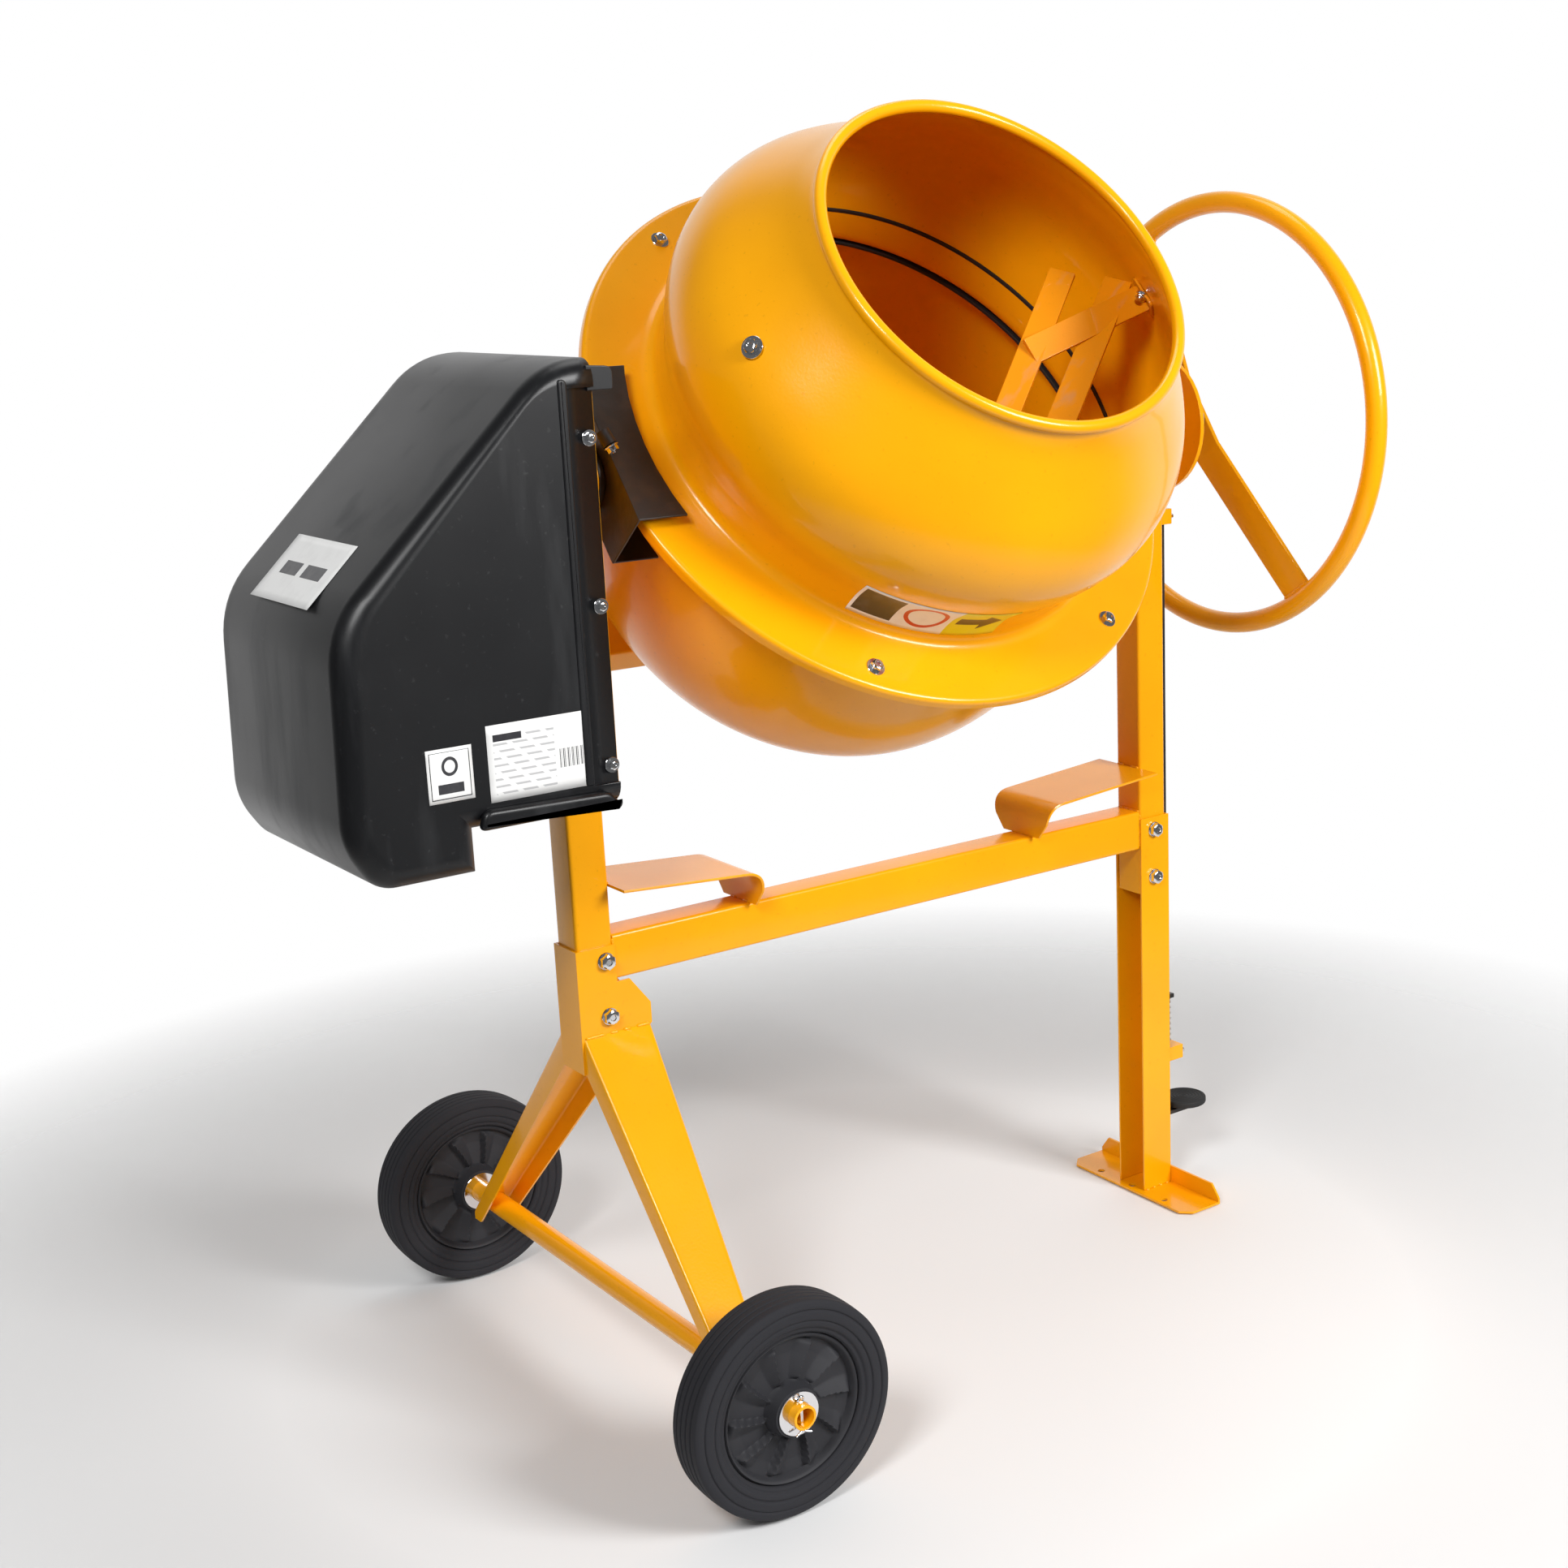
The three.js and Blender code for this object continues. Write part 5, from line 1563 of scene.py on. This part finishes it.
# ---------------------------------------------------------------- yoke and handwheel
@dataclass
class Yoke:
    """Tilting yoke: arms, beam, trunnions, pinion guard, lock disc and handwheel."""

    wheel_x: float = 981.0
    wheel_radius: float = 272.6
    wheel_tube: float = 13.5
    spoke_angle: float = math.radians(33.7)
    spoke_x: float = 929.3
    spoke_width: float = 45.0
    drop: float = 395.0

    def build(self) -> None:
        """Adds the yoke's pieces."""
        for node in ("yoke_left_arm", "yoke_right_arm"):
            softened(node, YELLOW, 1.5, 3)
        self.beam()
        softened("drum_shaft", STEEL, 1.0, 2)
        softened("trunnion_sleeve", STEEL, 0.6, 2)
        softened("shaft_bush", IRON, 0.4, 1)
        self.boss()
        softened("pinion_guard", BLACK_STEEL, 1.1, 2)
        softened("tilt_shaft", STEEL, 0.8, 2)
        softened("lock_disc", YELLOW, 0.7, 2)
        self.handwheel()

    def beam(self) -> None:
        """Adds the beam under the drum: an oblong tube along x with its weld beads."""
        low, high = (np.array(corner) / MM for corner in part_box("yoke_beam"))
        shape = hollow_tube(60.0, 45.0, low[0] - POST_X, high[0] - POST_X, 2.5, 4.5)
        place = Place(YOKE.at((0, 0, 22.5 - self.drop), (1, 0, 0)).origin, YOKE_ALONG_X)
        piece("yoke_beam_tube", "yoke", YELLOW, shape.laid(place), ["yoke_beam"])
        beads = []
        for x in (39.4, POST_SPAN - 39.4):
            for t in (-30.2, 30.2):
                path = np.array([(x, t, 4 - self.drop), (x, t, 42 - self.drop)], float)
                beads.append(bead(path, 2.2))
            beads.append(bead(np.array([(x, -27, 45.4 - self.drop), (x, 27, 45.4 - self.drop)], float), 2.2))
        piece("yoke_welds", "yoke", YELLOW, joined(beads).laid(YOKE), soft=math.radians(80))

    def boss(self) -> None:
        """Adds the black trunnion boss, and the guard's stub with its clamp bolt."""
        profile = rounded([(21.5, 39.6), (34, 39.6), (34, 47.4), (21.5, 47.4)], [0.5, 2, 2, 0.5], 4)
        boss = lathe(profile, 56).laid(Place(YOKE.origin, YOKE_ALONG_X))
        piece("trunnion_boss_round", "yoke", BLACK_STEEL, boss, ["trunnion_boss"])
        stub = tube(np.array([(45.5, 16.0, 60.5), (50.0, 0.0, 58.0)], float), 8.0, 28)
        piece("guard_stub", "yoke", BLACK_STEEL, stub.laid(YOKE), soft=math.radians(50))
        clamp = YOKE.at((50.4, -1.6, 57.8), (0.27, -0.95, -0.15))
        head = washer(3.0, 8.4, 1.4) + hex_head(11.0, 5.5).shifted((0, 0, 1.4))
        piece("guard_clamp_bolt", "yoke", ZINC, head.laid(clamp), soft=math.radians(24))

    def handwheel(self) -> None:
        """Adds the ring, the flat spoke bar and the welds between them."""
        down = np.array([0.0, -math.sin(self.spoke_angle), -math.cos(self.spoke_angle)])
        side = np.cross([1.0, 0.0, 0.0], down)
        place = Place((POST_X, 0.0, TILT_Z), np.array([[1.0, 0.0, 0.0], side, down]))
        turn = np.linspace(0, 2 * np.pi, 160, endpoint=False)
        radius, wheel_x, spoke_x = self.wheel_radius, self.wheel_x, self.spoke_x
        circle = np.stack([0 * turn + wheel_x, radius * np.cos(turn), radius * np.sin(turn)], 1)
        ring = tube(circle, self.wheel_tube, 28, closed=True)
        piece("handwheel_ring_tube", "yoke", YELLOW, ring.laid(place), ["handwheel_ring"])
        half = radius - 9.0
        knots = [(-half, wheel_x - 1), (-62, spoke_x + 6), (-48, spoke_x + 3), (48, spoke_x + 3),
                 (62, spoke_x + 6), (half, wheel_x - 1)]
        line = rounded(knots, [0, 10, 0, 0, 10, 0], 5, closed=False)
        section = np.vstack([beside(line, 3.0), beside(line, -3.0)[::-1]])
        bar = slab(section, -self.spoke_width / 2, self.spoke_width / 2, 0.8, 3)
        bar = Shape(bar.points[:, [1, 2, 0]], bar.faces)
        piece("handwheel_spoke_bar", "yoke", YELLOW, bar.laid(place), ["handwheel_spoke"])
        inner = radius - self.wheel_tube
        y = np.linspace(-self.spoke_width / 2, self.spoke_width / 2, 12)
        rise = inner + 1.0 + np.sqrt(inner**2 - y**2) - inner
        beads = []
        for end in (-1, 1):
            for x in (wheel_x - 6, wheel_x + 2):
                beads.append(bead(np.stack([0 * y + x, y, end * rise], 1), 2.4))
        piece("handwheel_welds", "yoke", YELLOW, joined(beads).laid(place), soft=math.radians(80))


# ---------------------------------------------------------------- drum
@dataclass
class Drum:
    """Mixing drum: upper cone with mouth and flange, lower bowl, seal, ring gear, hub and blades."""

    flange_radius: float = 364.5
    flange_top: float = 36.9
    flange_lip: float = 13.0
    neck_radius: float = 285.2
    neck_top: float = 54.0
    sheet: float = 2.5
    mouth_radius: float = 214.0
    mouth_top: float = 334.0
    bead_radius: float = 7.0
    bowl_radius: float = 318.0
    bowl_depth: float = 332.0
    hub_hole: float = 45.0
    bolt_circle: float = 337.0
    joint_line: float = 86.0
    bolt_angles: tuple[float, ...] = (-118, -58, 2, 62, 122, 182)
    blade_turns: tuple[float, ...] = (0.0, 180.0)

    def build(self) -> None:
        """Adds the drum's pieces."""
        piece("upper_drum_shell", "drum", YELLOW, self.upper().laid(DRUM), ["upper_drum"], math.radians(50))
        piece("lower_drum_bowl", "drum", YELLOW, self.lower().laid(DRUM), ["lower_drum"], math.radians(50))
        self.seal()
        softened("ring_gear", IRON, 0.0)
        softened("drum_hub", IRON, 1.5, 3)
        dressed("drum_bearing", STEEL)
        self.flange_bolts()
        for number, turn in enumerate(self.blade_turns, 1):
            self.blade(number, math.radians(turn))
        self.label()

    def wall_line(self) -> Points:
        """Draws the upper wall's outer line.

        Returns:
            Its [radius, height] points, from the flange's fillet to just under the mouth's bead.
        """
        knots = [
            (self.neck_radius, self.neck_top), (285.6, 66), (288.4, 84), (295.5, 104), (303.4, 125),
            (308.3, 148), (309.0, 166), (306.8, 184), (301.0, 203), (292.0, 221), (279.0, 240),
            (263.0, 260), (246.0, 281), (230.0, 302), (220.6, 318), (217.6, 326),
        ]
        return smooth_line(knots, 5)

    def upper(self) -> Shape:
        """Turns the upper shell's profile: flange with a turned-down lip, fillet, bulging wall, rolled mouth.

        Returns:
            The shell.
        """
        out, top, neck = self.flange_radius, self.flange_top, self.neck_radius
        start = rounded([(out, top - self.flange_lip), (out, top), (neck, top), (neck, self.neck_top)],
                        [0, 6.5, 16.5, 0], 8, closed=False)
        outer = np.vstack([start[:-1], self.wall_line()])
        roll = arc((self.mouth_radius, self.mouth_top), self.bead_radius, -52, 228, 28)
        inner = beside(outer, self.sheet)[::-1]
        profile = np.vstack([outer, roll, inner[1:]])
        return lathe(profile, 192)

    def lower(self) -> Shape:
        """Turns the bowl: r = R cos(a)^(2/3.4), z = 10 - D sin(a)^(2/3.3), with a flange under the joint.

        Returns:
            The bowl.
        """
        under = self.flange_top - 2 * self.sheet - 2.1
        bowl, rise = self.bowl_radius, 10.0
        rim = rounded([(352, under), (bowl, under), (bowl, -rise)], [0, 7, 0], 6, closed=False)
        angle = np.radians(np.concatenate([np.linspace(6, 84, 44), np.linspace(85, 89.6, 8)]))
        r = bowl * np.cos(angle) ** (2 / 3.4)
        z = rise - self.bowl_depth * np.sin(angle) ** (2 / 3.3)
        keep = (r > self.hub_hole) & (z < -14)
        foot = [(self.hub_hole, 10.2 - self.bowl_depth)]
        line = np.vstack([rim, np.column_stack([r, z])[keep], foot])
        return lathe(np.vstack([line, beside(line, -self.sheet)[::-1]]), 192)

    def seal(self) -> None:
        """Adds the rubber ring in the joint, its lip showing inside the drum, and the bead above it."""
        low, high = self.flange_top - self.sheet - 1.9, self.flange_top - self.sheet - 0.2
        lip, root, out = 286.4, 290, 352
        profile = rounded([
            (lip, low - 3.0), (root, low - 3.4), (out, low), (out, high), (root, high), (lip, high),
        ], [1.2, 1.2, 0.4, 0.4, 0.4, 1.2], 4)
        piece("drum_seal_lip", "drum", BLACK_RUBBER, lathe(profile, 160).laid(DRUM), ["drum_seal"])
        line = self.wall_line()
        at = self.joint_line
        inner = float(np.interp(at, line[:, 1], line[:, 0])) - self.sheet
        profile = rounded([(inner + 0.8, at - 2.6), (inner - 1.4, at - 2.6), (inner - 1.4, at + 2.6),
                           (inner + 1.6, at + 2.6)], [0.2, 1.1, 1.1, 0.2], 4)
        piece("drum_joint_bead", "drum", BLACK_RUBBER, lathe(profile, 160).laid(DRUM))

    def flange_bolts(self) -> None:
        """Adds six bolts round the flange."""
        shapes = []
        for degrees in self.bolt_angles:
            a = math.radians(degrees)
            x, y = self.bolt_circle * math.cos(a), self.bolt_circle * math.sin(a)
            at = DRUM.at((x, y, self.flange_top - 0.1), (0, 0, 1))
            head = washer(5.0, 10.5, 1.6) + hex_head(13.0, 6.2).shifted((0, 0, 1.5))
            shapes.append(head.laid(at))
        piece("drum_flange_bolts", "drum", ZINC, joined(shapes), soft=math.radians(24))

    def blade(self, number: int, turn: float) -> None:
        """Adds one mixing blade, an arm and two strips, with its wall lug and bolt.

        Args:
            number: The blade's number.
            turn: Its angle about the drum's axis.
        """
        c, s = math.cos(turn), math.sin(turn)
        place = Place(DRUM.origin, np.array([[c, s, 0], [-s, c, 0], [0, 0, 1]], float) @ DRUM_AXES)
        arm = self.flat_bar((268, 15, 240), (119, -10.5, 186), 32, 6, math.radians(-10), 2)
        near = self.flat_bar((193, 74, 219.5), (46.5, -99.8, 142), 31, 6, math.radians(27), 1.5)
        far = self.flat_bar((257, 49, 230.5), (85, -139, 170.5), 33, 6, math.radians(27), 1.5)
        shape = (arm + near + far).laid(place)
        # The blade bars take the darker inside yellow: painted shade, plus real scuffs.
        piece(f"mixing_blade_{number}_bars", "drum", YELLOW_INSIDE_SHADE_PAINTED, shape, [f"mixing_blade_{number}"])
        self.blade_lug(number, place)

    def blade_lug(self, number: int, place: Place) -> None:
        """Adds the lug on the wall, the nut on its inner side and the bolt head outside.

        Args:
            number: The blade's number.
            place: The blade's frame.
        """
        wall = np.array([281.0, 20.0, 239.0])
        normal = np.array([0.8, 0.05, 0.6])
        normal = normal / np.linalg.norm(normal)
        at = place.at(wall - 6.0 * normal, normal)
        lug = slab(oblong(30, 44, 6), -2.0, 1.2, 0.7)
        piece(f"mixing_blade_{number}_lug", "drum", YELLOW_INSIDE_SHADE_PAINTED, lug.laid(at))
        outside = place.at(wall + normal * 0.6, normal)
        head = (washer(5.0, 12.0, 1.6) + hex_head(14.0, 6.5).shifted((0, 0, 1.5))).laid(outside)
        inside = place.at((266, 16, 241), (-0.75, -0.5, 0.1))
        shank = tube(np.array([[0, 0, -8.0], [0, 0, 13.0]]), 3.6, 20)
        end = (hex_head(12.0, 5.5, 8.5) + shank).laid(inside)
        piece(f"mixing_blade_{number}_bolts", "drum", ZINC, head + end, soft=math.radians(24))

    @staticmethod
    def flat_bar(start: Sequence[float], end: Sequence[float], width: float, thick: float, roll: float,
                 corner: float) -> Shape:
        """Makes a flat bar between two points: across = level cos(roll) + up sin(roll).

        Args:
            start: The middle of one end.
            end: The middle of the other.
            width: Its width.
            thick: Its thickness.
            roll: How far its width turns from level about its length.
            corner: Radius of its corners.

        Returns:
            The bar.
        """
        a, b = np.asarray(start, float), np.asarray(end, float)
        along = (b - a) / np.linalg.norm(b - a)
        level = np.cross(along, [0.0, 0.0, 1.0])
        level = level / np.linalg.norm(level)
        across = level * math.cos(roll) + np.cross(along, level) * math.sin(roll)
        place = Place(tuple((a + b) / 2), np.array([along, across, np.cross(along, across)]))
        bar = slab(oblong(float(np.linalg.norm(b - a)), width, corner), -thick / 2, thick / 2, 0.7)
        return bar.laid(place)

    def label(self) -> None:
        """Adds the direction label: a strip that follows the turned wall just above its surface."""
        line = self.wall_line()
        s = np.linspace(50, 112, 14)
        r = np.interp(s, line[:, 1], line[:, 0]) + 0.5
        azimuth = np.radians(np.linspace(-127, -90, 40))
        height = np.repeat(s[:, None], len(azimuth), 1)
        points = np.stack([np.outer(r, np.cos(azimuth)), np.outer(r, np.sin(azimuth)), height], -1)
        finish = Sticker("drum_turn_label", "yellow_paint", WHITE_VINYL, Print.TURN)
        sticker("drum_turn_label", "drum", finish, patch(points).laid(DRUM))


# ---------------------------------------------------------------- studio
@dataclass
class Studio:
    """Pale floor, soft lights and the camera."""

    camera_at: tuple[float, float, float] = (-1.0950, -2.1472, 1.2779)  # from the left post's foot
    yaw: float = math.radians(36.98)
    pitch: float = math.radians(14.33)
    roll: float = math.radians(-1.79)
    lens: float = 51.06
    shift: tuple[float, float] = (-0.1085, 0.0171)
    sensor: float = 36.0
    far: float = 50.0
    aim: tuple[float, float, float] = (0.0, 0.0, 0.8)
    floor_radius: float = 3600.0
    floor_fade: tuple[float, float] = (0.7, 1.7)  # where it starts to fade and where it is gone, in metres
    surround: float = 0.13
    backdrop_edge: tuple[float, float] = (0.3, 0.6)  # facing where the backdrop starts and where it is full
    backdrop_dip: float = -0.2

    def build(self) -> None:
        """Adds the floor, the world, the lights and the camera."""
        self.floor()
        self.world()
        self.light("key", (1.1, -3.2, 2.2), size=1.3, power=135)
        self.light("left", (-2.5, -1.9, 2.9), size=1.0, power=80)
        self.light("top", (0.6, 0.6, 3.6), size=1.2, power=14)
        self.camera()
        bpy.context.scene.view_settings.view_transform = "Standard"

    def floor(self) -> None:
        """Adds a round floor that fades out into the surround."""
        radius, top, bottom = self.floor_radius, -2.0, -8.0
        disc = lathe(np.array([(0.0, top), (radius, top), (radius, bottom), (0.0, bottom)]), 96, closed=False)
        made = bpy.data.objects.new("studio_floor", finish_mesh("studio_floor", disc, SHARP))
        bpy.context.scene.collection.objects.link(made)
        graph = Graph("studio_floor")
        point = graph.place()
        away = graph.node("ShaderNodeVectorMath", {"operation": "LENGTH"}, {0: point}, "Value")
        fade = 1.0 - away.ramp(*self.floor_fade)
        colour = graph.mix(graph.noise(0.9, 2.0) * 0.3, (0.8, 0.8, 0.8), (0.76, 0.76, 0.765))
        made.data.materials.append(graph.surface(Base_Color=colour, Roughness=0.8, Alpha=fade))

    def world(self) -> None:
        """Sets a dim, even surround with a bright backdrop behind the machine."""
        world = bpy.data.worlds.new("studio")
        world.use_nodes = True
        nodes, links = world.node_tree.nodes, world.node_tree.links
        towards = nodes.new("ShaderNodeTexCoord")
        facing = nodes.new("ShaderNodeVectorMath")
        facing.operation = "DOT_PRODUCT"
        facing.inputs[1].default_value = (math.sin(self.yaw), math.cos(self.yaw), self.backdrop_dip)
        spread = nodes.new("ShaderNodeMapRange")
        spread.inputs["From Min"].default_value = self.backdrop_edge[0]
        spread.inputs["From Max"].default_value = self.backdrop_edge[1]
        spread.inputs["To Min"].default_value = self.surround
        spread.inputs["To Max"].default_value = 1.0
        links.new(towards.outputs["Generated"], facing.inputs[0])
        links.new(facing.outputs["Value"], spread.inputs["Value"])
        links.new(spread.outputs["Result"], nodes["Background"].inputs["Strength"])
        nodes["Background"].inputs["Color"].default_value = (1.0, 1.0, 1.0, 1.0)
        bpy.context.scene.world = world

    def light(self, name: str, at: Sequence[float], size: float, power: float) -> None:
        """Adds one square soft light aimed at the machine's middle.

        Args:
            name: The light's name.
            at: Where it stands, in metres.
            size: Its side in metres.
            power: Its power in watts.
        """
        lamp = bpy.data.lights.new(name, "AREA")
        lamp.size = size
        lamp.energy = power
        made = bpy.data.objects.new(name, lamp)
        aim = np.array(self.aim) - np.asarray(at)
        bpy.context.scene.collection.objects.link(made)
        made.location = at
        made.rotation_mode = "QUATERNION"
        made.rotation_quaternion = Vector(aim).to_track_quat("-Z", "Y")

    def camera(self) -> None:
        """Adds the camera from its position, yaw, pitch and roll."""
        lens = bpy.data.cameras.new("camera")
        lens.lens = self.lens
        lens.sensor_width = self.sensor
        lens.shift_x, lens.shift_y = self.shift
        lens.clip_end = self.far
        level = math.cos(self.pitch)
        ahead = np.array([math.sin(self.yaw) * level, math.cos(self.yaw) * level, -math.sin(self.pitch)])
        right = np.array([math.cos(self.yaw), -math.sin(self.yaw), 0.0])
        up = np.cross(right, ahead)
        c, s = math.cos(self.roll), math.sin(self.roll)
        right, up = right * c + up * s, up * c - right * s
        matrix = Matrix.Identity(4)
        for k, axis in enumerate((right, up, -ahead)):
            for i in range(3):
                matrix[i][k] = float(axis[i])
        for i, value in enumerate(self.camera_at):
            matrix[i][3] = value
        matrix[0][3] += POST_X * MM
        made = bpy.data.objects.new("camera", lens)
        bpy.context.scene.collection.objects.link(made)
        made.matrix_world = matrix
        bpy.context.scene.camera = made


def main() -> None:
    """Builds every sub-assembly."""
    logging.basicConfig(level=logging.INFO, format="%(message)s")
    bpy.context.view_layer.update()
    assemblies = [
        Studio(), Stand(), Wheel("front_wheel", -1), Wheel("rear_wheel", 1), MotorHousing(), TiltLock(),
        Yoke(), Drum(),
    ]
    for assembly in assemblies:
        log.info("-- %s", type(assembly).__name__)
        assembly.build()


if __name__ == "__main__":
    main()
